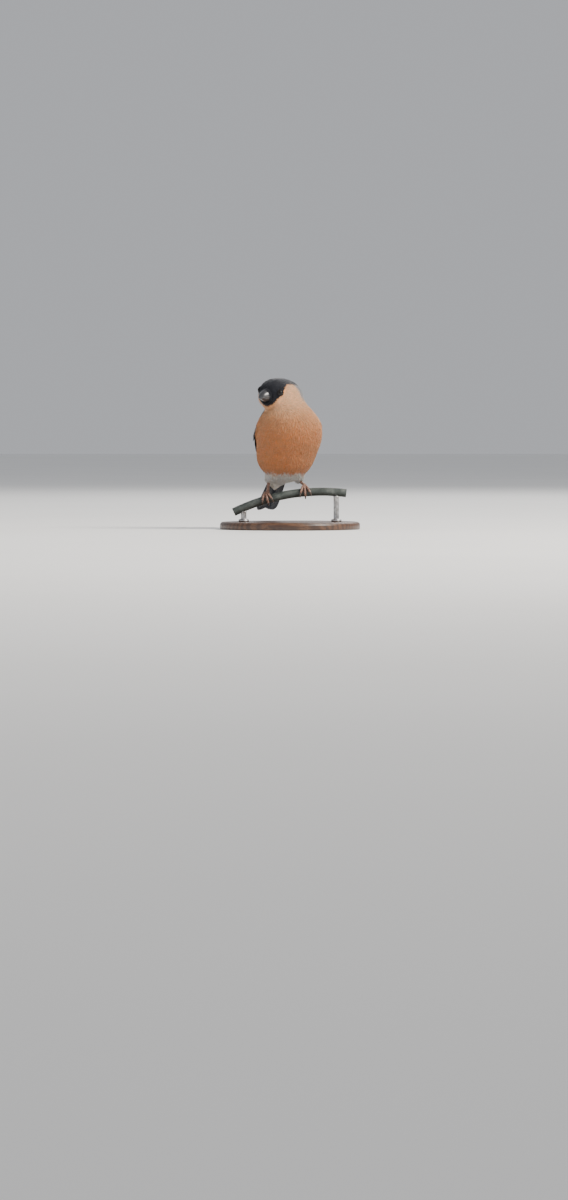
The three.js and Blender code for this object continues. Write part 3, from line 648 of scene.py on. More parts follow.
def scattered(random):
    """Roots spread evenly over the hide, no two nearer than the spacing there."""
    corners = np.concatenate([skin_quads[:, [0, 1, 2]], skin_quads[:, [0, 2, 3]]])
    a, b, c = (skin_points[corners[:, i]] for i in range(3))
    area = np.linalg.norm(np.cross(b - a, c - a), axis=-1) / 2
    weight = area / feather_size((a + b + c) / 3)[2] ** 2
    chosen = random.choice(len(a), int(COAT_CROWD * weight.sum()), p=weight / weight.sum())
    s, t = random.random((2, len(chosen)))
    flip = s + t > 1
    s = np.where(flip, 1 - s, s)
    t = np.where(flip, 1 - t, t)
    points = a[chosen] + s[:, None] * (b - a)[chosen] + t[:, None] * (c - a)[chosen]
    gaps = feather_size(points)[2]
    tree_of_points = kdtree.KDTree(len(points))
    for i, p in enumerate(points):
        tree_of_points.insert(p, i)
    tree_of_points.balance()
    free = np.ones(len(points), bool)
    kept = []
    for i, p in enumerate(points):
        if free[i]:
            kept.append(i)
            for _, j, _ in tree_of_points.find_range(p, gaps[i]):
                free[j] = False
    return points[kept]


def coat_vanes(roots, random, lift):
    """Vanes grown from roots along the lie of the coat, as rings of three points."""
    count = len(roots)
    length, width, _ = feather_size(roots)
    length = length * random.normal(1, 0.13, count).clip(0.65, 1.4)
    width = width * random.normal(1, 0.12, count).clip(0.7, 1.35)
    depth = coat_depth(roots)
    rise = depth + lift + random.normal(0, 0.045, count) * depth
    normal = unit(slope(skin_field, roots))
    way = lie_of_coat(roots)
    way = unit(way - (way * normal).sum(-1, keepdims=True) * normal)
    yaw = random.normal(0, 0.11, count)[:, None]
    way = unit(way * np.cos(yaw) + np.cross(normal, way) * np.sin(yaw))
    rings = []
    spot = roots - ROOT_SUNK * normal
    for k, (t, breadth) in enumerate(zip(VANE_STATIONS, VANE_WIDTHS)):
        if k:
            spot = spot + way * (length * (t - VANE_STATIONS[k - 1]))[:, None]
            for _ in range(2):
                spot = drawn(spot, skin_field, rise * math.sin(0.5 * math.pi * t) ** 0.8)
            normal = unit(slope(skin_field, spot))
            way = unit(way - (way * normal).sum(-1, keepdims=True) * normal)
        side = np.cross(normal, way) * (width * breadth / 2)[:, None]
        droop = normal * (0.05 * width * breadth)[:, None]
        crown = normal * (0.045 * width * (1 - 0.5 * t) + 0.015)[:, None]
        rings.append(np.stack([spot - side - droop, spot + crown, spot + side - droop], 1))
    return np.stack(rings, 1)


def vane_colours(rings, random):
    """Each vane's colours: the marking where its end lies, deeper at the root, and a little of its own."""
    ends = rings[:, -2, 1]
    stray = 0.25 + 0.6 * (1 - on_head(ends))[:, None]
    own = plumage(ends + random.normal(0, 1, ends.shape) * stray, 0.25)
    own = own * random.normal(1, 0.07, (len(ends), 1)).clip(0.8, 1.2)
    warm = random.normal(0, 0.025, (len(ends), 1))
    own = own * np.concatenate([1 + warm, 1 - warm, 1 - 2 * warm], 1)
    fade = smooth(0.05, 0.45, np.linspace(0, 1, len(VANE_STATIONS)))
    return np.broadcast_to(own[:, None, None] * between(0.82, 1, fade)[:, None, None], rings.shape)


def barbed(tree, place, roughness, barb_scale=9):
    """Barbs and mottling of a feather, from its own vane map and its plumage colours."""
    vane = add_node(tree, "ShaderNodeUVMap", {"uv_map": "vane"}).outputs[0]
    split = add_node(tree, "ShaderNodeSeparateXYZ", Vector=vane).outputs
    out = math_of(tree, "ABSOLUTE", math_of(tree, "SUBTRACT", split[0], 0.5))
    slant = math_of(tree, "SUBTRACT", split[1], math_of(tree, "MULTIPLY", out, 0.55))
    barb_place = add_node(tree, "ShaderNodeCombineXYZ", at0=slant).outputs[0]
    barbs = bands(tree, barb_place, "X", Scale=barb_scale, Distortion=0.6, Detail=2)
    mottle = noise(tree, place, 260, 6, Roughness=0.6)
    uneven = ramp(tree, mottle, (0.30, (0.82, 0.81, 0.80)), (0.70, (1.10, 1.08, 1.06)))
    lines = ramp(tree, barbs, (0.1, (0.86, 0.85, 0.84)), (0.8, (1, 1, 1)))
    tone = product(tree, marks(tree), uneven, lines)
    dress(tree, tone, (mottle, roughness - 0.08, roughness + 0.08), (barbs, 0.5, 0.00012))


soft_plume, tree, place = new_material(
    "soft_plume",
    Sheen_Weight=0.25,
    Sheen_Roughness=0.5,
    Sheen_Tint=(1.0, 0.90, 0.80, 1),
    Subsurface_Weight=0.3,
    Subsurface_Radius=(0.0016, 0.0008, 0.0004),
    Subsurface_Scale=1.0,
)
barbed(tree, place, 0.78)
dark_plume, tree, place = new_material(
    "dark_plume",
    Sheen_Weight=0.03,
    Sheen_Roughness=0.35,
    Specular_IOR_Level=0.32,
    Specular_Tint=(0.78, 0.84, 1.0, 1),
)
barbed(tree, place, 0.42)


def plume_piece(name, rings, colours, material, slot, centre, roots):
    """A joined mesh of vanes with its vane map, and a small patch of the baking map at each vane's root."""
    vane_map = np.zeros(rings.shape[:3] + (2,))
    vane_map[..., 0] = [0.0, 0.5, 1.0]
    vane_map[..., 1] = np.linspace(0, 1, rings.shape[1])[:, None]
    flat = unwrap(roots, centre)
    at_root = (flat - flat.min(0)) / (flat.max(0) - flat.min(0))
    bake_map = at_root[:, None, None, :] * 0.98 + 0.01 + (vane_map - 0.5) * PATCH
    maps = {"OFBake": bake_map.reshape(-1, 2), "vane": vane_map.reshape(-1, 2)}
    points, faces = lofted(rings)
    mesh_piece(name, to_stand(points), faces, material, slot, maps, colours.reshape(-1, 3))


def free_of_bill_and_wing(p):
    """Where the bill doesn't stand and the folded wing doesn't hide the body."""
    x, y, z = np.moveaxis(to_head(p), -1, 0)
    clear = (np.hypot(x / 4.6, (z + 1.1) / 4.9) > 1) | (y > -9)
    along_wing, up_wing = wing_place(p)
    hidden = (along_wing > 5) & (along_wing < 74) & (up_wing > 2.5) & (up_wing < 20 - 0.06 * along_wing)
    return clear & ~hidden


def over_wrist(p):
    """How much the vanes in front of the folded wing stand up, to lap over its front edge."""
    along_wing, up_wing = wing_place(p)
    in_front = smooth(-11, -5, along_wing) * smooth(9, 3, along_wing)
    return 1.3 * in_front * smooth(-7, -2, up_wing) * smooth(24, 15, up_wing) * (1 - on_head(p))


random = np.random.default_rng(COAT_SEED)
roots = scattered(random)
roots = roots[free_of_bill_and_wing(roots)]
colour_at = plumage(roots, 0.05)
lightness = colour_at.mean(-1)
in_head = on_head(roots) > 0.5
is_black = lightness < 0.05
is_grey = ~is_black & (abs(colour_at[:, 0] - colour_at[:, 1]) < 0.06) & (lightness < 0.45)
is_white = ~is_black & ~is_grey & (colour_at[:, 1] > 0.5)
is_rose = ~(is_black | is_grey | is_white)
is_high = roots[:, 2] > 44
head_side = to_head(roots)[:, 0] > 0
body_side = roots[:, 0] > 0
for tract, chosen, left, material, slot, centre in (
    ("cap", is_black, head_side, dark_plume, "black_feather", HEAD_MIDDLE),
    ("cheek", is_rose & in_head, head_side, soft_plume, "breast_feather", HEAD_MIDDLE),
    ("breast", is_rose & is_high & ~in_head, body_side, soft_plume, "breast_feather", BODY_MIDDLE),
    ("belly", is_rose & ~is_high & ~in_head, body_side, soft_plume, "breast_feather", BODY_MIDDLE),
    ("back", is_grey, body_side, soft_plume, "grey_feather", BODY_MIDDLE),
    ("vent", is_white, body_side, soft_plume, "white_feather", BODY_MIDDLE),
):
    for side_name, here in (("left", roots[chosen & left]), ("right", roots[chosen & ~left])):
        rings = coat_vanes(here, random, over_wrist(here))
        colours = vane_colours(rings, random)
        plume_piece("plumes_%s_%s" % (tract, side_name), rings, colours, material, slot, centre, here)


# The eyes: dark glossy globes, sunk in their sockets to a little more than half, as a real bird's are.
# A ring of bare lid skin, thicker above and below, holds each one all round.
EYE_RADIUS = 3.0
EYE_SUNK = 1.9
EYE_SPOT = (-8.8, 2.8)
PUPIL = 1.35
IRIS_EDGE = (2.05, 2.3)
LID_TUBE = 0.23
PUPIL_BLACK = np.array([0.0025, 0.0025, 0.003])
IRIS_BROWN = np.array([0.0050, 0.0022, 0.0012])

eye_gloss, tree, _ = new_material("eye_gloss", Roughness=0.03, IOR=1.34)
dress(tree, marks(tree))
lid_skin, tree, place = new_material("lid_skin", Roughness=0.7, Specular_IOR_Level=0.2)
wrinkle = cells(tree, place, 3400)
tone = ramp(tree, wrinkle, (0.0, (0.005, 0.005, 0.006)), (0.6, (0.018, 0.016, 0.017)))
dress(tree, tone, None, (wrinkle, 0.5, 0.0001))


def head_surface(q):
    """The coat's outer surface in the head's frame."""
    return flesh_field(from_head(q))


for name, side in (("left", 1), ("right", -1)):
    spot = np.array([side * 30.0, *EYE_SPOT])
    while head_surface(spot) > 0.01:
        spot[0] -= side * max(float(head_surface(spot)) * 0.8, 0.01)
    outwards = unit(slope(head_surface, spot))
    centre = spot - outwards * EYE_SUNK
    tall = unit(np.array([0, 0, 1.0]) - outwards * outwards[2])
    wide = np.cross(tall, outwards)
    polar = np.linspace(0.001, np.pi - 0.001, 40)
    turn = np.linspace(0, 2 * np.pi, 48, endpoint=False)[None, :, None]
    radial = np.sin(polar)[:, None, None] * (np.cos(turn) * wide + np.sin(turn) * tall)
    globe = radial + np.cos(polar)[:, None, None] * outwards
    from_axis = np.where(np.cos(polar) > 0, EYE_RADIUS * np.sin(polar), 9)
    tint = PUPIL_BLACK + smooth(PUPIL - 0.1, PUPIL + 0.1, from_axis)[:, None] * IRIS_BROWN
    tint = np.repeat(tint * (1 - 0.85 * smooth(*IRIS_EDGE, from_axis)[:, None]), turn.size, 0)
    points, faces = lofted((EYE_RADIUS * globe + centre)[None])
    eye = mesh_piece("globe_" + name, to_stand(from_head(points)), faces, eye_gloss, "eye", colours=tint)
    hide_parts("eye_" + name)
    around = np.linspace(0, 2 * np.pi, 72, endpoint=False)[:, None]
    section = np.linspace(0, 2 * np.pi, 12, endpoint=False)[None, :, None]
    thick = LID_TUBE * (1 + 0.35 * abs(np.sin(around))) * (1 + 0.10 * np.sin(9 * around))
    ring_radius = math.sqrt(EYE_RADIUS**2 - EYE_SUNK**2) + 0.22 - 0.14 * abs(np.sin(around)) ** 3
    outward_line = np.cos(around) * wide + np.sin(around) * tall
    centre_line = centre + outwards * (EYE_SUNK - 0.12) + outward_line * ring_radius
    across = np.cos(section) * outward_line[:, None] + np.sin(section) * outwards * 0.8
    lid = centre_line[:, None] + thick[..., None] * across
    index = np.arange(lid[..., 0].size).reshape(lid.shape[:2])
    after = np.roll(index, -1, 0)
    quads = np.stack([index, after, np.roll(after, -1, 1), np.roll(index, -1, 1)], -1).reshape(-1, 4)
    mesh_piece("lid_" + name, to_stand(from_head(lid.reshape(-1, 3))), [quads], lid_skin, "black_feather")


# The bill: short, deep and swollen, of black horn, an upper half over a shorter lower half.
# The cutting edges meet in a gentle curve, and the nostrils lie at the root under small bristles.
BILL_LENGTH = 10.4
BILL_IN_HEAD = 3
BILL_HALF_WIDTH = 5.6
BILL_DEPTHS = {"upper": 6.3, "lower": 4.9}
BILL_STEPS = 45
BILL_ROUND = 29
NOSTRIL = np.array([3.6, -14.6, 3.2])
NOSTRIL_SIZE = [0.7, 0.75, 0.6]
NOSTRIL_DEPTH = 0.75

horn, tree, place = new_material("bill_horn", Coat_Weight=0.8, Coat_Roughness=0.30, Coat_IOR=1.58)
streak = noise(tree, stretched(tree, place, (1100, 420, 1500)), 1, 5)
scuff = noise(tree, place, 5200, 4)
horn_tones = ((0.3, (0.010, 0.010, 0.012)), (0.55, (0.022, 0.022, 0.026)), (0.8, (0.060, 0.058, 0.060)))
dress(tree, ramp(tree, streak, *horn_tones), (scuff, 0.24, 0.42), (streak, 0.3, 0.0001))


def bill_half(name):
    """Half of the bill: arched rings from the root to the tip, flat along the mouth."""
    upper = name == "upper"
    sign = 1 if upper else -1
    t = np.linspace(0, 1, BILL_STEPS)[:, None] ** 0.9
    a = np.linspace(0, np.pi, BILL_ROUND)[None, :]
    swell = np.maximum(1 - t**2.6, 0) ** 0.62
    width = BILL_HALF_WIDTH * swell * (1 - 0.16 * t)
    height = BILL_DEPTHS[name] * swell * (1 - 0.1 * t)
    hook = 1.1 * t**4 if upper else -0.55
    length = BILL_LENGTH if upper else BILL_LENGTH - 1.6
    keel = 0.30 * np.exp(-(((a - np.pi / 2) / 0.16) ** 2)) * swell
    x = (width + 0.05) * np.cos(a)
    y = BILL_ROOT[1] + BILL_IN_HEAD - (length + BILL_IN_HEAD) * t + 0 * a
    z = BILL_ROOT[2] + sign * 0.15 - hook + sign * (np.sin(a) ** 0.85 * height + keel)
    floor_x = x[:, 1:-1][:, ::-1] * 0.98
    floor_points = np.stack([floor_x, y[:, 1:-1], np.repeat(z[:, :1], BILL_ROUND - 2, 1)], -1)
    rings = np.concatenate([np.stack([x, y, z], -1), floor_points], 1)
    if not upper:
        return rings
    for side in (1, -1):
        off = (rings - NOSTRIL * [side, 1, 1]) / NOSTRIL_SIZE
        near = np.exp(-(off**2).sum(-1))
        rings = rings - near[..., None] * unit(np.array([side * 1.0, 0.0, 0.8])) * NOSTRIL_DEPTH
    return rings[:, ::-1]


for name in ("upper", "lower"):
    points, faces = lofted(bill_half(name)[None])
    half = mesh_piece("bill_horn_" + name, to_stand(from_head(points)), faces, horn, "bill")
    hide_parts("bill_" + name)


# The bristles: short stiff black feathers round the bill's root, lying forward over the nostrils.
# They hide the seam between horn and skin, and are thickest on top and at the corners of the mouth.
BRISTLE_SEED = 3
BRISTLE_COUNT = 260
BRISTLE_ROOT = -12.9


def bristle_rings(random):
    """Narrow vanes along the bill from its root, all round it, as rings of three points."""
    count = BRISTLE_COUNT
    bearing = np.radians(np.linspace(-75, 255, count)) + random.normal(0, 0.02, count)
    top = np.sin(bearing)
    length = (2.1 + 1.0 * smooth(-0.3, 0.6, top)) * random.normal(1, 0.15, count).clip(0.6, 1.5)
    start = BRISTLE_ROOT + random.normal(0, 0.3, count)
    sway = random.normal(0, 0.10, count)
    lift = random.uniform(0.1, 0.5, count)
    deep = np.where(top > 0, BILL_DEPTHS["upper"], BILL_DEPTHS["lower"])
    rings = []
    for t, breadth in zip(VANE_STATIONS, VANE_WIDTHS):
        y = start - length * t
        c = np.cos(bearing + sway * t)
        s = np.sin(bearing + sway * t)
        u = np.clip((BILL_ROOT[1] + BILL_IN_HEAD - y) / (BILL_LENGTH + BILL_IN_HEAD), 0, 1)
        swell = (1 - u**2.6) ** 0.62
        high = abs(s) ** 0.85 * deep * swell * (1 - 0.1 * u) * np.sign(s)
        spot = np.stack([BILL_HALF_WIDTH * swell * (1 - 0.16 * u) * c, y, BILL_ROOT[2] + high], 1)
        radial = np.stack([c, 0 * s, s], 1)
        spot = spot + radial * (0.12 + lift * np.sin(np.pi * min(t, 0.8)))[:, None]
        side = np.stack([s, 0 * s, -c], 1) * 0.21 * breadth
        rings.append(np.stack([spot - side, spot + radial * 0.07, spot + side], 1))
    return from_head(np.stack(rings, 1))


bristles = bristle_rings(np.random.default_rng(BRISTLE_SEED))
bristle_tones = np.broadcast_to(BLACK, bristles.shape)
bristle_roots = bristles[:, 0, 1]
plume_piece("bristles", bristles, bristle_tones, dark_plume, "black_feather", HEAD_MIDDLE, bristle_roots)


# The wings: folded along the flanks with the tips over the tail, long flight feathers under tiers of
# coverts. Each feather has a raised shaft, and every upper one lies over the edge of the next below it.
# Small soft vanes cover the wrist and shoulder, and the wing's own flesh and down lie under them all.
WING_SEED = 11
SHEEN_BLACK = np.array([0.0050, 0.0054, 0.0080])
BAR_GREY = np.array([0.50, 0.495, 0.50])
FLIGHT_STATIONS = np.array([0, 0.08, 0.2, 0.34, 0.48, 0.62, 0.74, 0.83, 0.9, 0.95, 0.98, 1.0])
POINTED = np.array([0.3, 0.55, 0.78, 0.92, 1.0, 1.0, 0.96, 0.86, 0.7, 0.52, 0.34, 0.12])
BLUNT = np.array([0.4, 0.62, 0.8, 0.92, 0.98, 1.0, 1.0, 0.99, 0.95, 0.86, 0.70, 0.34])
ACROSS = np.array([-1, -0.7, -0.38, -0.07, 0, 0.07, 0.38, 0.7, 1])
RING_ACROSS = np.concatenate([ACROSS, ACROSS[-2:0:-1]])
VANE_THICKNESS = 0.2
TIPS_DRAWN_IN = 0.72
SHOULDER_STEP = 0.52
SHOULDER_LENGTH = 5.4
SHOULDER_WIDTH = 1.15
MIRROR = np.array([-1, 1, 1])


def rear_field(p):
    """How far points lie outside the rounded form that the wings lie on."""
    off = p - WING_ROOT
    wide, high = wing_section(off @ WING_ALONG)
    return (np.hypot(off[..., 0] / wide, off @ WING_UP / high) - 1) * np.minimum(wide, high)


wing_bed = joined(6, torso_field, rear_field)


def wing_point(along, up, level):
    """A point over the folded left wing: along it, up from its lower edge, and off the body."""
    wide, high = wing_section(along)
    turn = np.pi / 2 - up / high
    outwards = np.array([1, 0, 0]) * (wide * np.sin(turn))[..., None]
    out = unit(WING_UP * (high * np.cos(turn))[..., None] + outwards)
    centre = WING_ROOT + WING_ALONG * along[..., None]
    reach = np.full(along.shape, 40.0)
    for _ in range(40):
        reach -= np.maximum(wing_bed(centre + out * reach[..., None]) * 0.75, 0)
    return centre + out * (reach + level)[..., None]


def flight_feathers(place, root, tip, width, level, tilt, outline):
    """Feathers over a chart, as rings round each vane: the upper face with its shaft, then the lower."""
    root, tip, level, width = (np.array(v, float)[:, None, None] for v in (root, tip, level, width))
    t = FLIGHT_STATIONS[None, :, None]
    shape = outline[None, :, None]
    c = ACROSS[None, None, :]
    half = 0.5 * width * shape
    along = between(root[..., 0], tip[..., 0], t) + 0 * c - 0.9 * half * c**2 * smooth(0.72, 1.0, t)
    across = between(root[..., 1], tip[..., 1], t) + half * c
    lean = -0.5 * tilt * c * shape * np.minimum(1, 4 * t)
    arch = 0.10 * width * shape * (1 - c**2)
    base = between(level[..., 0], level[..., 1], t) + lean + arch
    upper = base + 0.16 * np.exp(-((c / 0.09) ** 2)) * (1 - 0.75 * t)
    lower = base - VANE_THICKNESS * (1 - c**2) * (1 - 0.5 * t) - 0.03
    above = place(along, across, upper)
    return np.concatenate([above, place(along, across, lower)[:, :, -2:0:-1]], 2)


def flight_tone(t, c):
    """Blue-black vanes with a dark brown shaft and a bluer outer edge."""
    tone = SHEEN_BLACK + smooth(-0.45, -0.8, c) * np.array([0.002, 0.004, 0.014])
    return tone + np.exp(-((c / 0.08) ** 2)) * np.array([0.012, 0.009, 0.008]) + 0 * t


def bar_tone(t, c):
    """Greater coverts: black, with broad greyish-white ends that make the wing bar."""
    ragged = 0.60 + 0.05 * abs(c)
    return between(SHEEN_BLACK, BAR_GREY * (1 - 0.12 * abs(c)), smooth(ragged - 0.05, ragged + 0.06, t))


def slate_tone(t, c):
    """Median coverts: dark slate, darker at the root."""
    return SLATE * (0.28 + 0.40 * smooth(0.2, 0.9, t)) * (1 - 0.1 * abs(c))


def feathers_of(tone, rings):
    """Feathers with their colours, by place along each vane and across it."""
    tones = tone(FLIGHT_STATIONS[None, :, None, None], RING_ACROSS[None, None, :, None])
    return rings, np.broadcast_to(tones, rings.shape)


WING_TIPS = {
    "primary": (64, 69, 72, 73, 72, 69, 65.5, 62),
    "secondary": (57.5, 57, 56, 55, 53.5, 51, 48, 44, 40, 36, 32),
    "tertial": (46, 42, 37),
    "alula": (24, 27, 30),
    "greater_covert": (35.5, 36, 36, 35.5, 35, 34, 32.5, 31, 29),
    "median_covert": (18, 18.6, 19, 19.2, 19, 18.6, 18, 17.2, 16),
}
wing_random = np.random.default_rng(WING_SEED)
wing_groups = {"flight": [], "bar": [], "coverts": []}
for tier, root, low, spread, width, level, tone, group in (
    ("primary", 34, -2.2, 1.25, 5.6, (0.6, 1.3), flight_tone, "flight"),
    ("secondary", 20, -0.6, 2.55, 7.4, (1.1, 3.0), flight_tone, "flight"),
    ("tertial", 14, 18.3, 2.5, 8.0, (1.5, 3.9), flight_tone, "flight"),
    ("alula", 9, -2.0, 1.4, 3.6, (0.9, 2.4), flight_tone, "flight"),
    ("greater_covert", 11, -1.2, 2.75, 6.0, (0.9, 3.5), bar_tone, "bar"),
    ("median_covert", 6, -1.2, 2.7, 5.2, (0.8, 3.4), slate_tone, "coverts"),
):
    tips = np.array(WING_TIPS[tier], float)
    count = len(tips)
    step = np.arange(count) * spread
    sway = wing_random.normal(0, 0.12, count)
    roots = np.stack([np.full(count, root), low + step + sway], 1)
    at_tip = low + step * between(1, TIPS_DRAWN_IN, tips / WING_LENGTH) + sway
    ends = np.stack([tips + wing_random.normal(0, 0.3, count), at_tip], 1)
    widths = width * wing_random.normal(1, 0.03, count)
    levels = np.tile(level, (count, 1))
    outline = POINTED if tier == "primary" else BLUNT
    lap = 0.42 * width / spread
    rings = flight_feathers(wing_point, roots, ends, widths, levels, lap, outline)
    wing_groups[group].append(feathers_of(tone, rings))


def feather_piece(name, groups, material, slot, reverse=False):
    """A joined mesh of large feathers with its vane map and a wide patch of the baking map for each.

    A group from a left-handed chart is reversed, so that its faces point outwards.
    """
    rings, tones = (np.concatenate(parts) for parts in zip(*groups))
    vane_map = np.zeros(rings.shape[:3] + (2,))
    vane_map[..., 0] = RING_ACROSS / 2 + 0.5
    vane_map[..., 1] = FLIGHT_STATIONS[:, None]
    columns = math.ceil(math.sqrt(len(rings) * 2))
    cell = 1 / columns
    order = np.arange(len(rings))
    corner = np.stack([order % columns, order // columns * 2], 1) * cell
    bake_map = vane_map * [0.42, 1.8] * cell + corner[:, None, None, :] + 0.05 * cell
    bake_map[..., 0] += (np.arange(len(RING_ACROSS)) >= len(ACROSS)) * 0.47 * cell
    if reverse:
        rings, tones, vane_map, bake_map = (a[:, :, ::-1] for a in (rings, tones, vane_map, bake_map))
    points, faces = lofted(rings)
    maps = {"OFBake": bake_map.reshape(-1, 2), "vane": vane_map.reshape(-1, 2)}
    return mesh_piece(name, to_stand(points), faces, material, slot, maps, tones.reshape(-1, 3))


glossy_plume, tree, place = new_material(
    "glossy_plume",
    Coat_Weight=0.03,
    Coat_Roughness=0.35,
    Specular_IOR_Level=0.24,
    Specular_Tint=(0.72, 0.80, 1.0, 1),
)
barbed(tree, place, 0.42, 26)


def shoulder_vanes(random):
    """Small soft vanes over the wrist, the small coverts and the scapulars of the left wing."""
    along, up = np.meshgrid(np.arange(-5, 22, SHOULDER_STEP), np.arange(-2.4, 36.0, SHOULDER_STEP))
    along = (along + random.uniform(-0.5, 0.5, along.shape) * SHOULDER_STEP).ravel()
    up = (up + random.uniform(-0.5, 0.5, up.shape) * SHOULDER_STEP).ravel()
    kept = along < 8.5 + 11.5 * smooth(18.5, 24, up) - 7 * smooth(26, 33, up)
    along = along[kept]
    up = up[kept]
    count = len(along)
    length = SHOULDER_LENGTH * random.normal(1, 0.12, count).clip(0.7, 1.3)
    width = SHOULDER_WIDTH * random.normal(1, 0.12, count).clip(0.7, 1.35)
    yaw = random.normal(-0.03, 0.09, count)
    lift = random.normal(0, 0.06, count)
    rings = []
    for t, breadth in zip(VANE_STATIONS, VANE_WIDTHS):
        a = along + length * t
        b = up + length * t * yaw
        half = width * breadth / 2
        level = 0.9 * smooth(-7, 2, a) + 2.5 * smooth(0, 16, a)
        level = level * (1 - 0.5 * smooth(22, 33, b)) - 1.1 * (1 - t) ** 1.5 + lift * t
        crown = wing_point(a, b, level + 0.06 * width + 0.02)
        edges = [wing_point(a, b + side * half, level - 0.1 * half) for side in (-1, 1)]
        rings.append(np.stack([edges[0], crown, edges[1]], 1))
    return np.stack(rings, 1)


def shoulder_colours(rings, random):
    """Slate, darker at the roots and along the wing's front edge, each vane a little its own."""
    _, up_wing = wing_place(rings[:, -2, 1])
    own = SLATE * random.normal(1, 0.08, (len(rings), 1)).clip(0.75, 1.25)
    own = own * (0.45 + 0.55 * smooth(-2, 3, up_wing + random.normal(0, 0.7, len(rings))))[:, None]
    fade = 0.72 + 0.28 * smooth(0.05, 0.6, VANE_STATIONS)
    return np.broadcast_to(own[:, None, None] * fade[:, None, None], rings.shape)


def wing_core():
    """The left wing's own flesh and down under its feathers, as one flat ring-built body."""
    u = np.linspace(0, 1, 24)[:, None]
    v = np.linspace(0, 1, 13)[None, :]
    along = 1 + 55 * u + 0 * v
    reach = 24 * np.sqrt(np.maximum(1 - ((u - 0.3) / 0.78) ** 2, 0.02))
    across = -3.2 + (reach + 1.5) * v
    top = (0.4 + 1.2 * np.sin(np.pi * np.minimum(1, 0.12 + 0.9 * u))) * (1 - 0.6 * abs(2 * v - 1) ** 4)
    below = wing_point(along, across, top * 0 - 1.0)[:, -2:0:-1]
    return np.concatenate([wing_point(along, across, top), below], 1)[None]


shoulder = shoulder_vanes(wing_random)
shoulder_tones = shoulder_colours(shoulder, wing_random)
core = wing_core()
down_tones = np.tile(SHEEN_BLACK * 2, (core[..., 0].size, 1))
for side_name in ("left", "right"):
    mirrored = side_name == "right"
    sign = MIRROR if mirrored else 1
    order = slice(None, None, -1 if mirrored else 1)
    for group, slot in (("flight", "black_feather"), ("bar", "grey_feather"), ("coverts", "grey_feather")):
        sided = [(rings * sign, tones) for rings, tones in wing_groups[group]]
        piece = feather_piece("wing_" + group + "_" + side_name, sided, glossy_plume, slot, mirrored)
        if group == "flight":
            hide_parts("wing_" + side_name)
    vanes = (shoulder * sign)[:, :, order]
    vane_look = (shoulder_tones, soft_plume, "grey_feather")
    plume_piece("plumes_shoulder_" + side_name, vanes, *vane_look, BODY_MIDDLE, vanes[:, 0, 1])
    points, faces = lofted((core * sign)[:, :, order])
    mesh_piece("wing_down_" + side_name, to_stand(points), faces, hide, "black_feather", colours=down_tones)


# The tail: twelve black feathers folded into a narrow, slightly notched fan, the middle pair on top.
# Black coverts lie over its root, white ones under it, and the white rump shows between the wings.
TAIL_DROOP = math.radians(35)
TAIL_TURN = math.radians(4)
tail_frame = np.array(Matrix.Rotation(TAIL_TURN, 3, "Z"))
TAIL_ALONG = tail_frame @ [0, math.cos(TAIL_DROOP), -math.sin(TAIL_DROOP)]
TAIL_UP = tail_frame @ [0, math.sin(TAIL_DROOP), math.cos(TAIL_DROOP)]
TAIL_SIDE = tail_frame @ [1, 0, 0]
TAIL_LENGTH = 62.0
TAIL_WIDTH = 6.4
TAIL_OFFSETS = (1.3, 2.3, 3.3, 4.3, 5.2, 6.1)
TAIL_STEP = 0.32
TAIL_ARCH = 0.006


def tail_point(along, across, level):
    """A point on the tail's chart: along it, across it and up from it."""
    p = TAIL_ROOT + TAIL_ALONG * along[..., None] + TAIL_UP * level[..., None]
    return p - TAIL_UP * (TAIL_ARCH * across**2)[..., None] + TAIL_SIDE * across[..., None]


def white_tone(t, c):
    """White coverts, greyer at the root."""
    return WHITE * (0.55 + 0.45 * smooth(0.1, 0.7, t)) * (1 - 0.06 * abs(c))


def tail_group(roots, tips, width, levels, tone):
    """One group of tail feathers with its colours."""
    widths = np.full(len(roots), width)
    return feathers_of(tone, flight_feathers(tail_point, roots, tips, widths, levels, 0.0, BLUNT))


def tail_coverts(rows, tone, fall, drop, shorter):
    """Rows of coverts over or under the tail's root; each gives start, reach, spread, width and level."""
    groups = []
    for row, (start, reach, spread, width, level) in enumerate(rows):
        k = np.arange(-2.5, 3) if row % 2 else np.arange(-2, 2.5)
        levels = np.stack([level + end - drop * abs(k) for end in fall], 1)
        roots = np.stack([start + 0 * k, k * spread], 1)
        tips = np.stack([reach - shorter * abs(k), k * spread], 1)
        groups.append(tail_group(roots, tips, width, levels, tone))
    return groups


places = [(side, i, offset) for side in (1, -1) for i, offset in enumerate(TAIL_OFFSETS)]
roots = [(-1.5, side * offset * 0.62) for side, i, offset in places]
tips = [(TAIL_LENGTH - 0.4 - 0.11 * (i - 2) ** 2, side * offset) for side, i, offset in places]
levels = [[0.5 - i * TAIL_STEP + (0.25 if side > 0 else 0)] * 2 for side, i, offset in places]
fan = [tail_group(roots, tips, TAIL_WIDTH, levels, flight_tone)]
over_rows = ((6, 24, 2.2, 4.6, 3.2), (2, 19, 2.4, 4.8, 4.2), (-2, 14, 2.6, 5.0, 5.0))
under_rows = ((8, 30, 1.6, 4.4, -3.4), (4, 25, 1.8, 4.8, -4.4), (0, 20, 2.0, 5.0, -5.4))
over = tail_coverts(over_rows, flight_tone, (0.4, -1.6), 0.55, 1.4)
under = tail_coverts(under_rows, white_tone, (-0.6, 0.9), -0.55, 1.6)
tail = feather_piece("tail_feathers", fan, glossy_plume, "black_feather", True)
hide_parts("tail")
feather_piece("tail_coverts_above", over, glossy_plume, "black_feather", True)
feather_piece("tail_coverts_below", under, soft_plume, "white_feather", True)


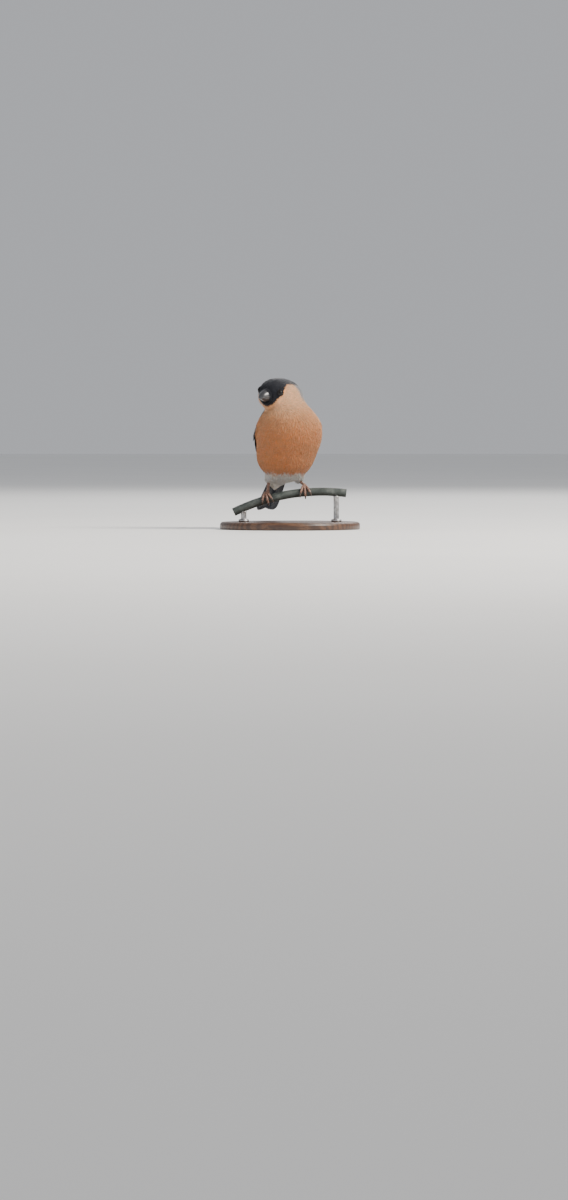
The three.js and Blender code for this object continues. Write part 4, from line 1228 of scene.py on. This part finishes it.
# The legs: slender shanks of scaly skin between the thigh feathers and the toes, three toes ahead and
# one behind on the rod. Overlapping scutes run down each shank's front and along the top of each toe.
FOOT_X = {"left": 11.8, "right": -18.0}
GRIP = 1000 * ROD_RADIUS + 0.3
TOES = ((-3.4, -20, 95, 48, -1), (0.2, -20, 128, 58, -1), (4.2, -20, 92, 46, -1), (0.0, -5, 88, 66, 1))
SHANK_STEPS = 64
TOE_STEPS = 44
PAD_RADIUS = 1.7
LEG_SIDES = 16

leg_skin, tree, place = new_material(
    "leg_skin", Subsurface_Weight=0.15, Subsurface_Radius=(0.0010, 0.0005, 0.0003), Subsurface_Scale=1.0
)
cloud = noise(tree, place, 700, 5)
scale_marks = cells(tree, place, 2600)
leg_tones = ((0.3, (0.150, 0.078, 0.055)), (0.5, (0.270, 0.150, 0.110)), (0.72, (0.400, 0.250, 0.195)))
edge = ramp(tree, scale_marks, (0.25, (1, 1, 1)), (0.7, (0.62, 0.58, 0.56)))
tone = product(tree, ramp(tree, cloud, *leg_tones), edge)
dress(tree, tone, (cloud, 0.42, 0.62), (scale_marks, 0.5, 0.00015))

claw_horn, tree, place = new_material("claw_horn", Coat_Weight=0.3, Coat_Roughness=0.25)
streak = noise(tree, place, 2400, 4)
tone = ramp(tree, streak, (0.3, (0.030, 0.018, 0.014)), (0.75, (0.120, 0.075, 0.055)))
dress(tree, tone, (streak, 0.25, 0.42))


def tube(line, radii, flatten=1.0, scutes=0, front=(0, -1, 0)):
    """A closed tube along points with a radius at each, raised on its front in a number of scutes."""
    ahead = np.concatenate([line[1:], line[-1:]]) - np.concatenate([line[:1], line[:-1]])
    way = unit(ahead)
    up = unit(np.array(front, float) - way * (way @ np.array(front, float))[:, None])
    side = np.cross(up, way)
    a = np.linspace(0, 2 * np.pi, LEG_SIDES, endpoint=False)[None, :, None]
    raised = (1 - np.linspace(0, scutes, len(line)) % 1)[:, None, None] if scutes else 0
    radius = radii[:, None, None] * (1 + 0.13 * raised * np.clip(np.sin(a), 0, 1) ** 0.5)
    return line[:, None, :] + radius * (-np.cos(a) * side[:, None, :] + np.sin(a) * up[:, None, :] * flatten)


def round_rod(lean, along, turn, reach):
    """Points round the leaning rod: a place along it, a turn from its top and a reach from its middle."""
    c = math.cos(lean)
    s = math.sin(lean)
    level = np.stack([along + 0 * turn, reach * np.sin(turn), reach * np.cos(turn)], 1)
    return level @ np.array([[c, 0, -s], [0, 1, 0], [s, 0, c]])


for side_name, side in (("left", 1), ("right", -1)):
    x = FOOT_X[side_name]
    lean = math.asin((x / 1000 - ROD_APEX_X) / ROD_BEND)
    centre = np.array([x, 0, rod_height(x / 1000) * 1000])
    ankle = to_stand(ANKLES[side_name]) * 1000
    step = centre + [0, 0.8, GRIP + 2]
    t = np.linspace(0, 1, SHANK_STEPS)
    shank_line = ankle + (step - ankle) * (t[:, None] * 1.42 - 0.35)
    shank_radius = 1.15 + 0.30 * (1 - smooth(0, 0.35, t)) + 0.22 * smooth(0.72, 0.98, t)
    toe_rings = []
    claw_rings = []
    for spread, start, bend, claw, way in TOES:
        t = np.linspace(0, 1, TOE_STEPS)
        turn = way * np.radians(start + (bend - start) * t)
        reach = GRIP + 1.1 + 0.35 * smooth(0.25, 0.1, t) + 0.22 * np.sin(t * np.pi * 3) ** 2
        line = round_rod(lean, side * spread * t, turn, reach) + centre
        outwards = round_rod(lean, 0, turn, 1)[20]
        radii = (1.2 - 0.35 * t) * (1 + 0.10 * np.cos(t * np.pi * 6)) * (1 - 0.3 * smooth(0.93, 1, t))
        toe_rings.append(tube(line, radii, 1.0, 12 if bend > 100 else 9, outwards))
        turn = way * np.radians(bend - 8 + (claw + 8) * t)
        reach = GRIP + 1.35 + 0.5 * np.sin(t * np.pi)
        line = round_rod(lean, side * spread * (1 + 0.25 * t), turn, reach) + centre
        claw_rings.append(tube(line, 0.74 - 0.62 * t**1.3, 0.9))
    t = np.linspace(0, np.pi, TOE_STEPS)
    pad_line = centre + [0, 0.6, GRIP + 1.5] + np.stack([0 * t, 0 * t, PAD_RADIUS * np.cos(t)], 1)
    toe_rings.append(tube(pad_line, PAD_RADIUS * np.sin(t) + 0.02))
    points, faces = lofted(tube(shank_line, shank_radius, 1.0, 11)[None])
    shank = mesh_piece("shank_" + side_name, points / 1000, faces, leg_skin, "leg_skin")
    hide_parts("tarsus_" + side_name)
    points, faces = lofted(np.array(toe_rings))
    toes = mesh_piece("toes_" + side_name, points / 1000, faces, leg_skin, "leg_skin")
    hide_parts("foot_" + side_name)
    points, faces = lofted(np.array(claw_rings))
    mesh_piece("claws_" + side_name, points / 1000, faces, claw_horn, "claw")


# The floor and the studio's lights: a wide pale sheet, one large soft key high on the right,
# a broad fill on the left and a light behind, under an even pale surround.
FLOOR_HALF = 14
WORLD_COLOUR = (0.93, 0.95, 1.0, 1)
WORLD_STRENGTH = 0.5

floor_tone, tree, place = new_material("studio_floor", Roughness=0.9)
pale = ((0.3, (0.86, 0.86, 0.85)), (0.7, (0.89, 0.89, 0.88)))
dress(tree, ramp(tree, noise(tree, place, 3, 2), *pale))
floor_mesh = bpy.data.meshes.new("studio_floor")
floor_corners = [(x * FLOOR_HALF, y * FLOOR_HALF, 0) for x, y in ((-1, -1), (1, -1), (1, 1), (-1, 1))]
floor_mesh.from_pydata(floor_corners, [], [(0, 1, 2, 3)])
floor_mesh.materials.append(floor_tone)
floor_sheet = placed("studio_floor", floor_mesh)

world = bpy.data.worlds.new("studio")
world.use_nodes = True
surround = world.node_tree.nodes["Background"].inputs
surround["Color"].default_value = WORLD_COLOUR
surround["Strength"].default_value = WORLD_STRENGTH
bpy.context.scene.world = world
for name, place, size, power, colour in (
    ("key", (1.45, -0.8, 1.4), 0.9, 84, (1.0, 0.94, 0.86)),
    ("fill", (-1.5, -1.4, 0.9), 1.6, 7, (0.92, 0.96, 1.0)),
    ("behind", (0.5, 1.8, 1.5), 1.2, 22, (1.0, 0.98, 0.95)),
):
    lamp = bpy.data.lights.new(name, "AREA")
    lamp.size = size
    lamp.energy = power
    lamp.color = colour
    light = placed(name, lamp)
    light.location = place
    light.rotation_euler = (Vector((0, 0, 0.07)) - light.location).to_track_quat("-Z", "Y").to_euler()
